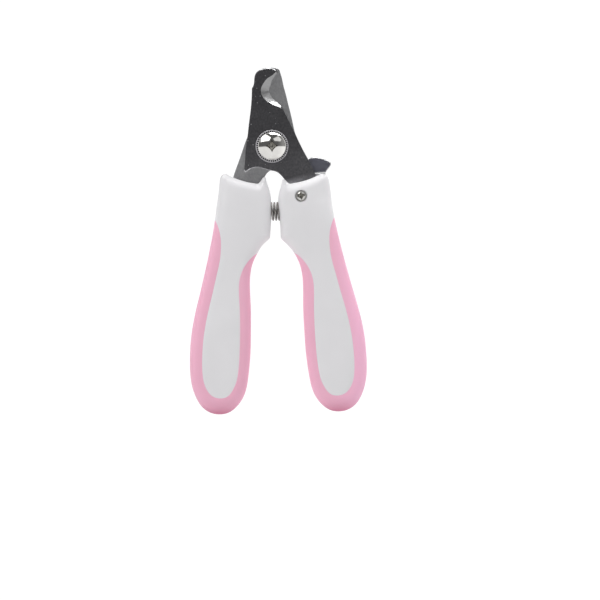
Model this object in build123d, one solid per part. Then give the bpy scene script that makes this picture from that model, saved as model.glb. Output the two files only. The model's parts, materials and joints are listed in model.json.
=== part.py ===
from build123d import *
import os

# Plier-type nail trimmer, lying flat, blades towards +Y, dome screw head up (+Z).
# The sketches are drawn in a working frame whose origin is on the pivot axis at
# the plane where the two blades meet; everything is moved to the row frame
# (underside centre of the whole tool) when it is written.

# ------------------------------------------------------------ driving sizes
OVERALL_L = 125.1            # tip of the rear blade to the handle ends
HALF_W = 31.95               # half of the overall width
THICK = 11.0                 # handle thickness
HZ = THICK / 2.0
AX = 0.30                    # handle symmetry line, right of the pivot
TIP_Y = 28.6                 # blade tip above the pivot
END_Y = TIP_Y - OVERALL_L    # handle ends

BLADE_T = 1.8                # blade stock
BLADE_GAP = 0.02             # each blade's distance from the meeting plane
PIVOT_R = 2.45               # pivot shank
PIVOT_HOLE_R = 2.50          # 0.05 mm running clearance
DOME_R = 5.0
RING_R = 5.95                # tooth washer
RING_TEETH = 40

LOCK_X, LOCK_Y = 10.05, -18.3    # lock screw axis
LOCK_HEAD_R = 2.1
LOCK_BUSH_R = 2.0
LEVER_HOLE_R = 2.05
LEVER_TOP = -1.95            # lever plate, behind the rear blade
LEVER_BOT = -3.30

SPRING_Y = -23.5
SPRING_R = 3.1               # mean coil radius
WIRE_R = 0.4
SPRING_HALF = 7.0            # half length at rest, pocket floor to pocket floor
POCKET_R = 3.9
POCKET_HALF = 7.5

GRIP_Z = 5.3                 # grip half thickness, a little below the shells

MOVE = Location((-AX, -(TIP_Y + END_Y) / 2.0, HZ))


def U(side, pts):
    "points given as (distance from the symmetry line, y) to x, y on one side"
    return [(AX + side * u, y) for u, y in pts]


def face_of(*edges):
    flat = []
    for e in edges:
        flat += list(e.edges())
    return make_face(Wire(flat))


def prism(sk, z0, z1):
    return extrude(Plane.XY.offset(z0) * sk, z1 - z0)


def cyl(x, y, r, z0, z1):
    return Pos(x, y, (z0 + z1) / 2.0) * Cylinder(r, z1 - z0)


def save(node, shape):
    if hasattr(shape, "clean"):
        shape = shape.clean()
    shape = MOVE * shape
    shape.label = node
    export_step(shape, "parts/" + node + ".step")
    return shape


os.makedirs("parts", exist_ok=True)

# ------------------------------------------------------------ handle outlines
OUTER = [(21.0, -22), (21.92, -28), (23.15, -34), (24.5, -40), (26.0, -46),
         (27.55, -52), (29.15, -58), (30.55, -64), (31.5, -70), (31.93, -76),
         (31.92, -82), (30.9, -88), (29.7, -91), (27.75, -93.9), (24.9, -95.85),
         (21.5, END_Y)]
INNER = [(18.2, -95.85), (15.5, -93.9), (13.25, -91), (12.0, -88), (11.3, -85),
         (10.85, -82), (10.15, -76), (9.8, -70), (9.6, -64), (9.52, -58),
         (9.65, -52), (9.35, -46), (8.7, -43), (7.45, -40)]


def handle_face(side):
    if side > 0:
        top = [(3.5, -12.0), (4.2, -12.0), (5.9, -13.55)]
        brow = [(5.9, -13.55), (10.0, -12.85), (14.0, -11.75), (17.3, -10.5)]
        corner = [(17.3, -10.5), (19.3, -10.8), (20.3, -12.8)]
        outer0 = [(20.3, -12.8), (20.65, -16.5)]
        web = [(6.5, -37.9), (4.7, -35.75), (2.95, -33.95)]
        nose = [(2.95, -33.95), (2.42, -33.3), (2.3, -32.4)]
        inner = [(2.3, -32.4), (2.2, -28.0), (1.95, -23.5), (1.75, -19.5),
                 (2.2, -16.7), (2.95, -14.2), (3.5, -12.0)]
    else:
        top = [(-2.7, -11.15), (-3.5, -11.15), (-5.2, -13.3)]
        brow = [(-5.2, -13.3), (-9.5, -12.45), (-13.5, -11.2), (-16.6, -9.75)]
        corner = [(-16.6, -9.75), (-18.5, -10.05), (-19.35, -12.2)]
        outer0 = [(-19.35, -12.2), (-19.85, -16.5)]
        web = [(-5.9, -37.9), (-4.1, -35.35), (-2.3, -33.75)]
        nose = [(-2.3, -33.75), (-1.7, -33.2), (-1.5, -32.4)]
        inner = [(-1.5, -32.4), (-1.15, -28.0), (-0.95, -23.5), (-0.85, -19.5),
                 (-1.2, -16.4), (-1.95, -13.8), (-2.7, -11.15)]
    long_run = outer0 + U(side, OUTER) + U(side, INNER) + web
    edges = []
    for a, b in zip(top[:-1], top[1:]):
        edges.append(Line(a, b))
    edges.append(Spline(*brow))
    edges.append(Spline(*corner))
    edges.append(Spline(*long_run))
    edges.append(Spline(*nose))
    edges.append(Spline(*inner))
    return face_of(*edges)


PANEL = [(21.95, -25.4), (20.75, -28), (19.9, -31), (19.6, -34), (19.68, -37),
         (20.0, -40), (21.4, -46), (22.9, -52), (24.5, -58), (25.9, -64),
         (26.9, -70), (27.4, -76), (27.5, -82), (27.2, -85), (26.2, -88),
         (24.3, -90.2), (21.5, -90.9), (18.7, -90.2), (16.8, -88), (15.35, -85),
         (14.65, -82), (13.95, -76), (13.6, -70), (13.42, -64), (13.4, -58),
         (13.55, -52), (13.35, -49), (12.6, -46), (11.1, -43), (8.9, -40.2),
         (6.3, -37.3)]


def panel_tool(side):
    pts = U(side, PANEL)
    return face_of(Spline(*pts), Line(pts[-1], (AX + side * 2.5, -36.6)),
                   Line((AX + side * 2.5, -36.6), (AX - side * 3.0, -36.6)),
                   Line((AX - side * 3.0, -36.6), (AX - side * 3.0, 0)),
                   Line((AX - side * 3.0, 0), (AX + side * 30.0, 0)),
                   Line((AX + side * 30.0, 0), (AX + side * 30.0, -24.5)),
                   Line((AX + side * 30.0, -24.5), pts[0]))


# ------------------------------------------------------------ blades
EDGE = [(2.4, 26.6), (1.4, 25.25), (0.6, 24.0), (0.1, 22.5), (-0.5, 21.0),
        (-0.55, 20.2), (-0.1, 18.7), (0.9, 17.3), (2.0, 16.1), (3.7, 14.5)]
BEVEL = [(2.2, 27.1), (0.6, 25.65), (-0.9, 24.75), (-2.4, 23.1), (-3.35, 21.3),
         (-3.5, 19.8), (-2.85, 18.0), (-1.5, 16.5), (0.3, 15.3), (3.5, 13.9)]


def turned(pts, deg):
    "mirrored in the Y axis, then turned about the pivot"
    import math
    c, s = math.cos(math.radians(deg)), math.sin(math.radians(deg))
    return [(-x * c - y * s, -x * s + y * c) for x, y in pts]


def bevel_cutter(edge, bevel, side, z_edge, z_face):
    "everything on the open side of the ruled face from the edge to the bevel line"
    def section(pts, z):
        far = 14.0 * side
        a, b = pts[0], pts[-1]
        e = [Spline(*pts), Line(b, (far, b[1])), Line((far, b[1]), (far, a[1])),
             Line((far, a[1]), a)]
        return Plane.XY.offset(z) * make_face(Wire(e))
    return loft([section(edge, z_edge), section(bevel, z_face)], ruled=True)


def front_blade():
    tip = [(-6.75, 21.2), (-6.15, 22.3), (-5.75, 25.0), (-4.9, 27.0), (-3.3, 27.85)]
    left = [(-10.25, -8.2), (-9.95, -4.0), (-9.75, -1.0), (-9.35, 1.5), (-8.75, 4.5),
            (-8.25, 7.8), (-7.6, 12.0), (-7.0, 17.0), (-6.75, 21.2)]
    right = [(3.7, 14.5), (4.9, 12.1), (6.8, 8.0), (8.6, 4.2)]
    flank = [(8.6, 4.2), (9.45, 2.2), (10.45, 0.0), (11.35, -2.0), (12.6, -4.6),
             (13.7, -7.0), (14.7, -9.4), (15.5, -11.8)]
    tang = [(15.5, -11.8), (16.1, -15.0), (16.3, -20.0), (16.2, -30.0), (15.9, -42.0),
            (14.2, -43.8), (12.6, -42.6), (10.4, -36.0), (8.9, -28.0), (8.5, -20.0),
            (7.7, -17.2), (6.3, -14.6), (4.2, -12.0)]
    low = [(4.2, -12.0), (3.0, -10.5), (1.5, -9.3), (-1.0, -8.6), (-4.0, -7.5),
           (-5.8, -7.2), (-7.5, -7.6), (-9.0, -8.55)]
    sk = face_of(Spline(*left), Spline(*tip), Line((-3.3, 27.85), (1.3, 27.85)),
                 Line((1.3, 27.85), EDGE[0]), Spline(*EDGE), Spline(*right),
                 Spline(*flank), Polyline(*tang), Spline(*low),
                 Line((-9.0, -8.55), (-10.0, -9.05)), Line((-10.0, -9.05), (-10.25, -8.2)))
    b = prism(sk, BLADE_GAP, BLADE_GAP + BLADE_T)
    b -= bevel_cutter(EDGE, BEVEL, 1, BLADE_GAP + 0.15, BLADE_GAP + BLADE_T + 0.001)
    b -= cyl(0, 0, PIVOT_HOLE_R, -1, 3)
    b -= cyl(LOCK_X, LOCK_Y, 1.35, -1, 3)
    b -= cyl(AX + 12.3, -28.5, 2.65, -1, 3)
    b -= cyl(AX + 13.0, -40.0, 1.6, -1, 3)
    return b


EDGE2 = turned(EDGE, 6.0)
BEVEL2 = turned(BEVEL, 6.0)


def rear_blade():
    right = [(3.0, 28.0), (3.7, 26.5), (4.15, 25.0), (4.7, 22.0), (5.45, 19.0),
             (6.2, 15.5), (7.0, 12.0), (7.8, 8.0), (8.4, 5.0), (9.15, 2.4),
             (9.8, 0.0), (10.1, -3.0), (10.5, -5.5), (10.75, -7.6)]
    low = [(9.6, -8.45), (7.6, -7.5), (5.6, -7.05), (3.4, -7.4), (1.0, -8.1),
           (-1.0, -8.75), (-2.1, -9.6), (-2.9, -10.8)]
    tang = [(-2.9, -10.8), (-4.4, -12.4), (-5.4, -13.8), (-6.6, -15.8), (-7.6, -18.0),
            (-8.0, -20.0), (-8.3, -28.0), (-9.8, -36.0), (-12.0, -42.6), (-13.6, -43.8),
            (-15.3, -42.0), (-15.6, -30.0), (-15.6, -20.0), (-15.3, -14.0), (-14.5, -11.2)]
    flank = [(-14.5, -11.2), (-13.7, -8.8), (-12.6, -6.0), (-11.44, -3.0),
             (-10.35, 0.0), (-9.3, 2.7), (-8.75, 3.9)]
    left = [(-8.75, 3.9), (-7.55, 7.2), (-6.2, 11.4), EDGE2[-1]]
    sk = face_of(Spline(*right), Line((10.75, -7.6), (10.4, -8.6)),
                 Line((10.4, -8.6), (9.6, -8.45)), Spline(*low), Polyline(*tang),
                 Spline(*flank), Spline(*left), Spline(*EDGE2[::-1]),
                 Line(EDGE2[0], (-3.3, TIP_Y)), Line((-3.3, TIP_Y), (1.9, TIP_Y)),
                 Line((1.9, TIP_Y), (3.0, 28.0)))
    b = prism(sk, -BLADE_GAP - BLADE_T, -BLADE_GAP)
    b -= bevel_cutter(EDGE2, BEVEL2, -1, -BLADE_GAP - 0.15, -BLADE_GAP - BLADE_T - 0.001)
    b -= cyl(0, 0, PIVOT_HOLE_R, -3, 1)
    b -= cyl(AX - 12.3, -28.5, 2.65, -3, 1)
    b -= cyl(AX - 13.0, -40.0, 1.6, -3, 1)
    return b


# ------------------------------------------------------------ fasteners
def cross_recess(x, y, z_top, span, width, depth):
    a = Pos(x, y, z_top - depth / 2.0 + 0.5) * Box(2 * span, width, depth + 1.0)
    b = Pos(x, y, z_top - depth / 2.0 + 0.5) * Box(width, 2 * span, depth + 1.0)
    c = Pos(x, y, z_top - depth / 2.0 + 0.5) * Cylinder(span * 0.55, depth + 1.0)
    return a + b + c


def pivot_screw():
    z0, z1 = 2.62, 5.25
    h = 0.5
    rise = z1 - (z0 + h)
    rs = (DOME_R ** 2 + rise ** 2) / (2 * rise)
    head = cyl(0, 0, DOME_R, z0, z1)
    ball = Pos(0, 0, z1 - rs) * Sphere(rs)
    head = head & ball
    head -= cross_recess(0, 0, z1, 2.0, 0.75, 1.5)
    return head + cyl(0, 0, PIVOT_R, -4.9, z0 + 0.2)


def pivot_tooth_washer():
    z0, z1 = BLADE_GAP + BLADE_T, 2.60
    ring = cyl(0, 0, RING_R, z0, z1) - cyl(0, 0, PIVOT_R + 0.1, z0 - 1, z1 + 1)
    tooth = Pos(5.45, 0, z1 + 0.1) * Box(0.75, 0.42, 0.5)
    cuts = [Rot(0, 0, 360.0 / RING_TEETH * i) * tooth for i in range(RING_TEETH)]
    for c in cuts:
        ring -= c
    return ring


def disc_spring(x, y, r0, r1, z_in, z_out, t):
    "coned disc: inner rim at z_in, outer rim at z_out"
    pts = [(r0, z_in), (r1, z_out), (r1, z_out + t), (r0, z_in + t)]
    prof = make_face(Polyline(*[(r, z) for r, z in pts], close=True))
    return Pos(x, y, 0) * revolve(Plane.XZ * prof, Axis.Z)


def pivot_nut():
    z0, z1 = -4.75, -2.50
    n = prism(RegularPolygon(radius=4.0, side_count=6, major_radius=False), z0, z1)
    return n - cyl(0, 0, PIVOT_R + 0.02, z0 - 1, z1 + 1)


def shell_screws(side):
    out = None
    for u, y in SCREWS:
        x = AX + side * u
        s = cyl(x, y, 2.1, -5.1, -3.65) + cyl(x, y, 1.0, -3.7, 2.6)
        s -= cross_recess(x, y, -5.1 + 0.8, 1.15, 0.45, 0.9)
        out = s if out is None else out + s
    return out


SCREWS = [(12.3, -28.5), (19.4, -60.0), (21.3, -85.0)]


def lock_screw():
    z1 = 5.15
    head = cyl(LOCK_X, LOCK_Y, LOCK_HEAD_R, 3.70, z1)
    head -= cross_recess(LOCK_X, LOCK_Y, z1, 1.25, 0.5, 0.9)
    return head + cyl(LOCK_X, LOCK_Y, 1.1, -4.95, 3.75)


def lock_bushing():
    b = cyl(LOCK_X, LOCK_Y, LOCK_BUSH_R, -3.40, -0.9) + cyl(LOCK_X, LOCK_Y, 3.6, -0.95, 0.0)
    return b - cyl(LOCK_X, LOCK_Y, 1.15, -5, 2)


def lock_insert():
    b = cyl(LOCK_X, LOCK_Y, 2.7, -5.0, -3.42)
    return b - cyl(LOCK_X, LOCK_Y, 1.15, -6, -2)


def lock_lever():
    plate = [(12.9, -4.95), (13.6, -4.35), (15.0, -4.1), (17.5, -4.45), (19.5, -5.15),
             (20.9, -6.2)]
    tip = [(20.9, -6.2), (21.2, -6.9), (20.95, -7.7)]
    under = [(20.95, -7.7), (19.2, -9.75)]
    sk = face_of(Spline(*plate), Spline(*tip), Line(*under),
                 Line((19.2, -9.75), (15.2, -9.85)), Line((15.2, -9.85), (13.9, -13.5)),
                 Line((13.9, -13.5), (13.3, -17.2)), Line((13.3, -17.2), (7.2, -16.8)),
                 Line((7.2, -16.8), (8.4, -12.6)), Line((8.4, -12.6), (10.9, -10.6)),
                 Line((10.9, -10.6), (10.9, -9.45)), Line((10.9, -9.45), (12.5, -9.45)),
                 Line((12.5, -9.45), (12.9, -4.95)))
    b = prism(sk, LEVER_BOT, LEVER_TOP)
    b += cyl(LOCK_X, LOCK_Y, 4.3, LEVER_BOT, LEVER_TOP)
    finger = face_of(Line((10.9, -9.45), (12.2, -9.45)), Line((12.2, -9.45), (12.2, -11.0)),
                     Line((12.2, -11.0), (10.9, -10.6)), Line((10.9, -10.6), (10.9, -9.45)))
    b += prism(finger, LEVER_TOP - 0.1, -0.15)
    return b - cyl(LOCK_X, LOCK_Y, LEVER_HOLE_R, -6, 1)


# ------------------------------------------------------------ handles
TABS = [(20.0, -34.0), (23.6, -50.0), (27.6, -66.0), (28.9, -80.0), (13.6, -80.0),
        (12.9, -66.0), (12.9, -52.0)]
POCKET_OUT = [(20.3, -50.0), (22.4, -58), (23.8, -64), (24.7, -70), (25.2, -76),
              (25.3, -82), (24.2, -86.6)]
POCKET_IN = [(18.6, -86.8), (17.0, -82), (16.1, -76), (15.8, -70), (15.6, -64),
             (15.6, -58), (15.7, -50.0)]


def pocket_face(side):
    o, i = U(side, POCKET_OUT), U(side, POCKET_IN)
    return face_of(Spline(*o), Line(o[-1], i[0]), Spline(*i), Line(i[-1], o[0]))


def edge_bars(side, z0, z1, grow=0.0):
    "short keys that reach from a shell into the grip"
    out = None
    for u, y in TABS:
        b = Pos(AX + side * u, y, (z0 + z1) / 2.0) * Box(4.4 + 2 * grow, 3.0 + 2 * grow, z1 - z0)
        out = b if out is None else out + b
    return out


def top_edges(shape, z):
    "the long outer edges of the upper or lower face, without those at the spring gap"
    rim = shape.faces().sort_by(Axis.Z)[-1 if z > 0 else 0].outer_wire().edges()
    return [e for e in rim if e.length > 3.0 and abs(e.center().X - AX) > 5.0]


def spring_pocket():
    return Pos(AX, SPRING_Y, 0) * (Rot(0, 90, 0) * Cylinder(POCKET_R, 2 * POCKET_HALF))


def tang_block(side, z0, z1, grow):
    "slot for the tang, a little larger than it"
    if side > 0:
        pts = [(15.5 + grow, -9.0), (15.5 + grow, -11.8), (16.1 + grow, -15.0),
               (16.3 + grow, -20.0), (16.2 + grow, -30.0), (15.9 + grow, -42.0),
               (14.2, -43.8 - grow), (12.6 - grow, -42.7), (10.4 - grow, -36.0),
               (8.9 - grow, -28.0), (8.5 - grow, -20.0), (7.7 - grow, -17.2),
               (6.3 - grow, -14.6), (4.2 - grow, -12.0), (4.0, -9.0)]
    else:
        pts = [(-14.5 - grow, -9.0), (-14.5 - grow, -11.2), (-15.3 - grow, -14.0),
               (-15.6 - grow, -20.0), (-15.6 - grow, -30.0), (-15.3 - grow, -42.0),
               (-13.6, -43.8 - grow), (-12.0 + grow, -42.7), (-9.8 + grow, -36.0),
               (-8.3 + grow, -28.0), (-8.0 + grow, -20.0), (-7.6 + grow, -18.0),
               (-6.6 + grow, -15.8), (-5.4 + grow, -13.8), (-4.4 + grow, -12.4),
               (-2.9 + grow, -10.8), (-3.0, -9.0)]
    return prism(make_face(Polyline(*pts, close=True)), z0, z1)


def front_shell(side):
    body = prism(handle_face(side) & panel_tool(side), 0.0, HZ)
    body = fillet(top_edges(body, 1), 1.2)
    body += edge_bars(side, 0.0, 1.2) & prism(handle_face(side), 0, 1.2)
    if side > 0:
        body -= tang_block(side, -1, BLADE_GAP + BLADE_T + 0.03, 0.1)
    body -= spring_pocket()
    body -= prism(pocket_face(side), -1.0, 3.7)
    for u, y in SCREWS[1:]:
        body += cyl(AX + side * u, y, 2.4, 0.0, 4.0)
    if side > 0:
        body += cyl(AX + side * 12.3, -28.5, 2.5, 0.0, 3.0)
        body += cyl(AX + side * 13.0, -40.0, 1.5, 0.0, 3.0)
    else:
        body += cyl(AX + side * 12.3, -28.5, 2.5, -1.9, 1.0)
        body += cyl(AX + side * 13.0, -40.0, 1.5, -1.9, 1.0)
    for u, y in SCREWS:
        body -= cyl(AX + side * u, y, 1.05, -4.0, 2.9)
    if side > 0:
        body -= cyl(LOCK_X, LOCK_Y, 2.45, 3.65, 7.0)
        body -= cyl(LOCK_X, LOCK_Y, 1.3, -1.0, 7.0)
    return body


def rear_shell(side):
    body = prism(handle_face(side) & panel_tool(side), -HZ, 0.0)
    body = fillet(top_edges(body, -1), 1.0)
    if side > 0:
        rim = face_of(Line((15.3, -12.5), (15.4, -10.15)), Line((15.4, -10.15), (19.1, -10.0)),
                      Line((19.1, -10.0), (19.6, -12.5)), Line((19.6, -12.5), (15.3, -12.5)))
        body += prism(rim, -4.0, 0.0)
    body += edge_bars(side, -1.2, 0.0) & prism(handle_face(side), -1.2, 0)
    if side < 0:
        body -= tang_block(side, -BLADE_GAP - BLADE_T - 0.03, 1, 0.1)
    body -= spring_pocket()
    body -= prism(pocket_face(side), -3.7, 1.0)
    for u, y in SCREWS[1:]:
        body += cyl(AX + side * u, y, 3.1, -4.6, 0.0)
    for u, y in SCREWS:
        body -= cyl(AX + side * u, y, 2.35, -7.0, -3.6)
        body -= cyl(AX + side * u, y, 1.15, -7.0, 1.0)
    if side < 0:
        body -= cyl(AX + side * 12.3, -28.5, 2.6, -1.95, 1.0)
        body -= cyl(AX + side * 13.0, -40.0, 1.6, -1.95, 1.0)
    if side > 0:
        body -= cyl(LOCK_X, LOCK_Y, 4.7, LEVER_BOT - 0.05, 1.0)
        room = face_of(Line((4.9, -17.8), (5.0, -9.0)), Line((5.0, -9.0), (15.25, -9.0)),
                       Line((15.25, -9.0), (15.25, -11.2)), Line((15.25, -11.2), (14.3, -14.0)),
                       Line((14.3, -14.0), (14.7, -18.6)), Line((14.7, -18.6), (4.9, -17.8)))
        body -= prism(room, LEVER_BOT - 0.05, 1.0)
        body -= cyl(LOCK_X, LOCK_Y, 2.72, -5.02, 0.0)
    return body


def grip(side):
    g = handle_face(side) - panel_tool(side)
    body = prism(g, -GRIP_Z, GRIP_Z)
    for z in (1, -1):
        rim = body.faces().sort_by(Axis.Z)[-1 if z > 0 else 0].outer_wire().edges()
        body = fillet(rim.sort_by(SortBy.LENGTH)[-1], 1.5)
    body -= edge_bars(side, -1.2, 1.2, 0.0)
    return body


def return_spring():
    n = 8.5
    half = SPRING_HALF - WIRE_R
    coil = Helix(pitch=2 * half / n, height=2 * half, radius=SPRING_R,
                 center=(0, 0, -half))
    prof = Plane(origin=coil @ 0, z_dir=coil % 0) * Circle(WIRE_R)
    s = sweep(prof, path=coil, is_frenet=True)
    return Pos(AX, SPRING_Y, 0) * (Rot(0, 90, 0) * s)


if __name__ == "__main__":
    save("front_blade", front_blade())
    save("rear_blade", rear_blade())
    save("pivot_screw", pivot_screw())
    save("pivot_tooth_washer", pivot_tooth_washer())
    save("pivot_wave_washer", disc_spring(0, 0, PIVOT_R + 0.15, 5.0, -2.22, -2.48, 0.36))
    save("pivot_nut", pivot_nut())
    save("return_spring", return_spring())
    save("lock_lever", lock_lever())
    save("lock_screw", lock_screw())
    save("lock_bushing", lock_bushing())
    save("lock_disc_spring", disc_spring(LOCK_X, LOCK_Y, LOCK_BUSH_R + 0.1, 3.5, -1.32, -1.93, 0.36))
    save("lock_insert", lock_insert())
    for side, name in ((-1, "left"), (1, "right")):
        save(name + "_front_shell", front_shell(side))
        save(name + "_rear_shell", rear_shell(side))
        save(name + "_grip", grip(side))
        save(name + "_shell_screws", shell_screws(side))
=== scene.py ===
import json
import math
import random

import bpy
import numpy as np
from mathutils import Matrix, Vector
from mathutils.geometry import delaunay_2d_cdt


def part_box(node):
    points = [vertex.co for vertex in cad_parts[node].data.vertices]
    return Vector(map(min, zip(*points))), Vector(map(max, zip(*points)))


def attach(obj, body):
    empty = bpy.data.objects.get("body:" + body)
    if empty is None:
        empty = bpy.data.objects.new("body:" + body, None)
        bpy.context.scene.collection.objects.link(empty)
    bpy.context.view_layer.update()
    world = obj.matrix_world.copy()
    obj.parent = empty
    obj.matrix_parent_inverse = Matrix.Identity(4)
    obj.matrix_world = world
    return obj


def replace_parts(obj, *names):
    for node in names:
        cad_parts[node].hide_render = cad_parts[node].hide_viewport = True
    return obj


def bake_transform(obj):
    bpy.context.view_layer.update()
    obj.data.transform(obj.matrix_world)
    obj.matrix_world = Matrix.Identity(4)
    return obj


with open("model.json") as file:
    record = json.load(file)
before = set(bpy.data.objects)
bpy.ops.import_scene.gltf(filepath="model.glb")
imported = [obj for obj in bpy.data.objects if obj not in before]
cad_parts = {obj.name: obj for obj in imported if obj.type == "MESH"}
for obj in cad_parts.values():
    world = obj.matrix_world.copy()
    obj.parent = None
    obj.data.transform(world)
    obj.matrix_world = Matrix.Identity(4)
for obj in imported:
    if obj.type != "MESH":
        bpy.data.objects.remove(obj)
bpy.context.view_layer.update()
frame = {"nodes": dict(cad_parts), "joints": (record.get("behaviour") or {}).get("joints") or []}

MM = 0.001
AX = 0.30                    # handle symmetry line, right of the pivot
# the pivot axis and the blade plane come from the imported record's main hinge
HINGE = [j for j in frame["joints"] if j["name"] == "handle_squeeze"][0]
LOCK = [j for j in frame["joints"] if j["name"] == "lock_turn"][0]
ORG = np.array(HINGE["pos_m"], float)
LOCK_X = (LOCK["pos_m"][0] - ORG[0]) / MM
LOCK_Y = (LOCK["pos_m"][1] - ORG[1]) / MM
HZ = ORG[2] / MM             # half thickness of the handles


# ------------------------------------------------------------------ curves
def natural(pts, step=0.4):
    "natural cubic spline through the points, sampled about every step mm"
    p = np.array(pts, float)
    n = len(p)
    t = np.concatenate([[0], np.cumsum(np.linalg.norm(np.diff(p, axis=0), axis=1))])
    if n == 2:
        k = max(2, int(t[-1] / step) + 1)
        s = np.linspace(0, 1, k)[:, None]
        return p[0] * (1 - s) + p[1] * s
    h = np.diff(t)
    a = np.zeros((n, n))
    b = np.zeros((n, 2))
    a[0, 0] = a[-1, -1] = 1.0
    for i in range(1, n - 1):
        a[i, i - 1] = h[i - 1]
        a[i, i] = 2 * (h[i - 1] + h[i])
        a[i, i + 1] = h[i]
        b[i] = 6 * ((p[i + 1] - p[i]) / h[i] - (p[i] - p[i - 1]) / h[i - 1])
    m = np.linalg.solve(a, b)
    k = max(2, int(t[-1] / step) + 1)
    s = np.linspace(0, t[-1], k)
    i = np.clip(np.searchsorted(t, s, side="right") - 1, 0, n - 2)
    u = (s - t[i])[:, None]
    hh = h[i][:, None]
    return (m[i] * (hh - u) ** 3 + m[i + 1] * u ** 3) / (6 * hh) \
        + (p[i] / hh - m[i] * hh / 6) * (hh - u) + (p[i + 1] / hh - m[i + 1] * hh / 6) * u


def loop_of(*parts):
    "joins sampled pieces into one closed loop without repeated points"
    out = []
    for part in parts:
        for q in np.asarray(part, float):
            if not out or np.hypot(*(q - out[-1])) > 1e-4:
                out.append(q)
    if np.hypot(*(out[0] - out[-1])) < 1e-4:
        out.pop()
    out = np.array(out)
    x, y = out[:, 0], out[:, 1]
    if np.sum(x * np.roll(y, -1) - np.roll(x, -1) * y) < 0:
        out = out[::-1]
    return out


def line(a, b, step=0.5):
    return natural([a, b], step)


def circle(x, y, r, n=64, phase=0.0):
    a = np.arange(n) * 2 * math.pi / n + phase
    return np.stack([x + r * np.cos(a), y + r * np.sin(a)], 1)


def distance(p, poly, closed=True):
    "distance from each point to a polyline"
    p = np.atleast_2d(p)
    a = np.asarray(poly, float)
    b = np.roll(a, -1, axis=0)
    if not closed:
        a, b = a[:-1], b[:-1]
    d = b - a
    dd = np.maximum((d ** 2).sum(1), 1e-12)
    out = np.empty(len(p))
    for s in range(0, len(p), 512):
        q = p[s:s + 512, None, :]
        t = np.clip(((q - a) * d).sum(2) / dd, 0, 1)
        out[s:s + 512] = np.sqrt((((a + t[..., None] * d) - q) ** 2).sum(2)).min(1)
    return out


def inside(p, poly):
    p = np.atleast_2d(p)
    a = np.asarray(poly, float)
    b = np.roll(a, -1, axis=0)
    out = np.zeros(len(p), bool)
    for s in range(0, len(p), 512):
        x, y = p[s:s + 512, 0:1], p[s:s + 512, 1:2]
        cross = (a[:, 1] > y) != (b[:, 1] > y)
        dy = np.where(np.abs(b[:, 1] - a[:, 1]) < 1e-12, 1e-12, b[:, 1] - a[:, 1])
        xi = (b[:, 0] - a[:, 0]) * (y - a[:, 1]) / dy + a[:, 0]
        out[s:s + 512] = (np.sum(cross & (x < xi), axis=1) % 2) == 1
    return out


def inset(poly, d):
    "points moved inwards by d, keeping only those that really are d away from the outline"
    a = np.asarray(poly, float)
    t = np.roll(a, -1, axis=0) - np.roll(a, 1, axis=0)
    t /= np.maximum(np.linalg.norm(t, axis=1), 1e-9)[:, None]
    n = np.stack([-t[:, 1], t[:, 0]], 1)
    q = a + n * d
    keep = (distance(q, a) > 0.97 * d) & inside(q, a)
    return q[keep]


def inset_all(poly, d):
    a = np.asarray(poly, float)
    t = np.roll(a, -1, axis=0) - np.roll(a, 1, axis=0)
    t /= np.maximum(np.linalg.norm(t, axis=1), 1e-9)[:, None]
    return a + np.stack([-t[:, 1], t[:, 0]], 1) * d


def smooth(a, b, x):
    t = np.clip((x - a) / (b - a), 0, 1)
    return t * t * (3 - 2 * t)


# ------------------------------------------------------------------ mesh
class Builder:
    def __init__(self):
        self.v, self.f, self.m = [], [], []

    def add(self, verts, faces, mat=0):
        base = len(self.v)
        self.v += [tuple(map(float, q)) for q in verts]
        for i, f in enumerate(faces):
            self.f.append(tuple(int(k) + base for k in f))
            self.m.append(mat if np.isscalar(mat) else int(mat[i]))

    def object(self, name, mats, angle=32.0):
        me = bpy.data.meshes.new(name)
        co = np.array(self.v, float) * MM + ORG
        me.from_pydata([tuple(c) for c in co], [], self.f)
        for m in mats:
            me.materials.append(m)
        me.polygons.foreach_set("material_index", self.m)
        me.polygons.foreach_set("use_smooth", [True] * len(me.polygons))
        me.validate()
        me.set_sharp_from_angle(angle=math.radians(angle))
        me.update()
        ob = bpy.data.objects.new(name, me)
        bpy.context.scene.collection.objects.link(ob)
        return ob


def triangulate(loops, extra, lines=()):
    "CDT of the region inside the first loop and outside the others"
    pts, edges = [], []
    for lp in loops:
        n0 = len(pts)
        pts += [tuple(q) for q in lp]
        k = len(lp)
        edges += [(n0 + i, n0 + (i + 1) % k) for i in range(k)]
    for ln, closed in lines:
        n0 = len(pts)
        pts += [tuple(q) for q in ln]
        k = len(ln)
        edges += [(n0 + i, n0 + (i + 1) % k) for i in range(k if closed else k - 1)]
    pts += [tuple(q) for q in extra]
    vs, _, fs, _, _, _ = delaunay_2d_cdt([Vector(q) for q in pts], edges, [], 0, 1e-5)
    v2 = np.array([[q.x, q.y] for q in vs])
    f2 = np.array([list(f) for f in fs], int)
    c = v2[f2].mean(1)
    keep = inside(c, loops[0])
    for lp in loops[1:]:
        keep &= ~inside(c, lp)
    a, b, cc = v2[f2[:, 0]], v2[f2[:, 1]], v2[f2[:, 2]]
    area = (b[:, 0] - a[:, 0]) * (cc[:, 1] - a[:, 1]) - (b[:, 1] - a[:, 1]) * (cc[:, 0] - a[:, 0])
    keep &= np.abs(area) > 1e-9
    f2, area = f2[keep], area[keep]
    f2[area < 0] = f2[area < 0][:, ::-1]
    return v2, f2


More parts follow.
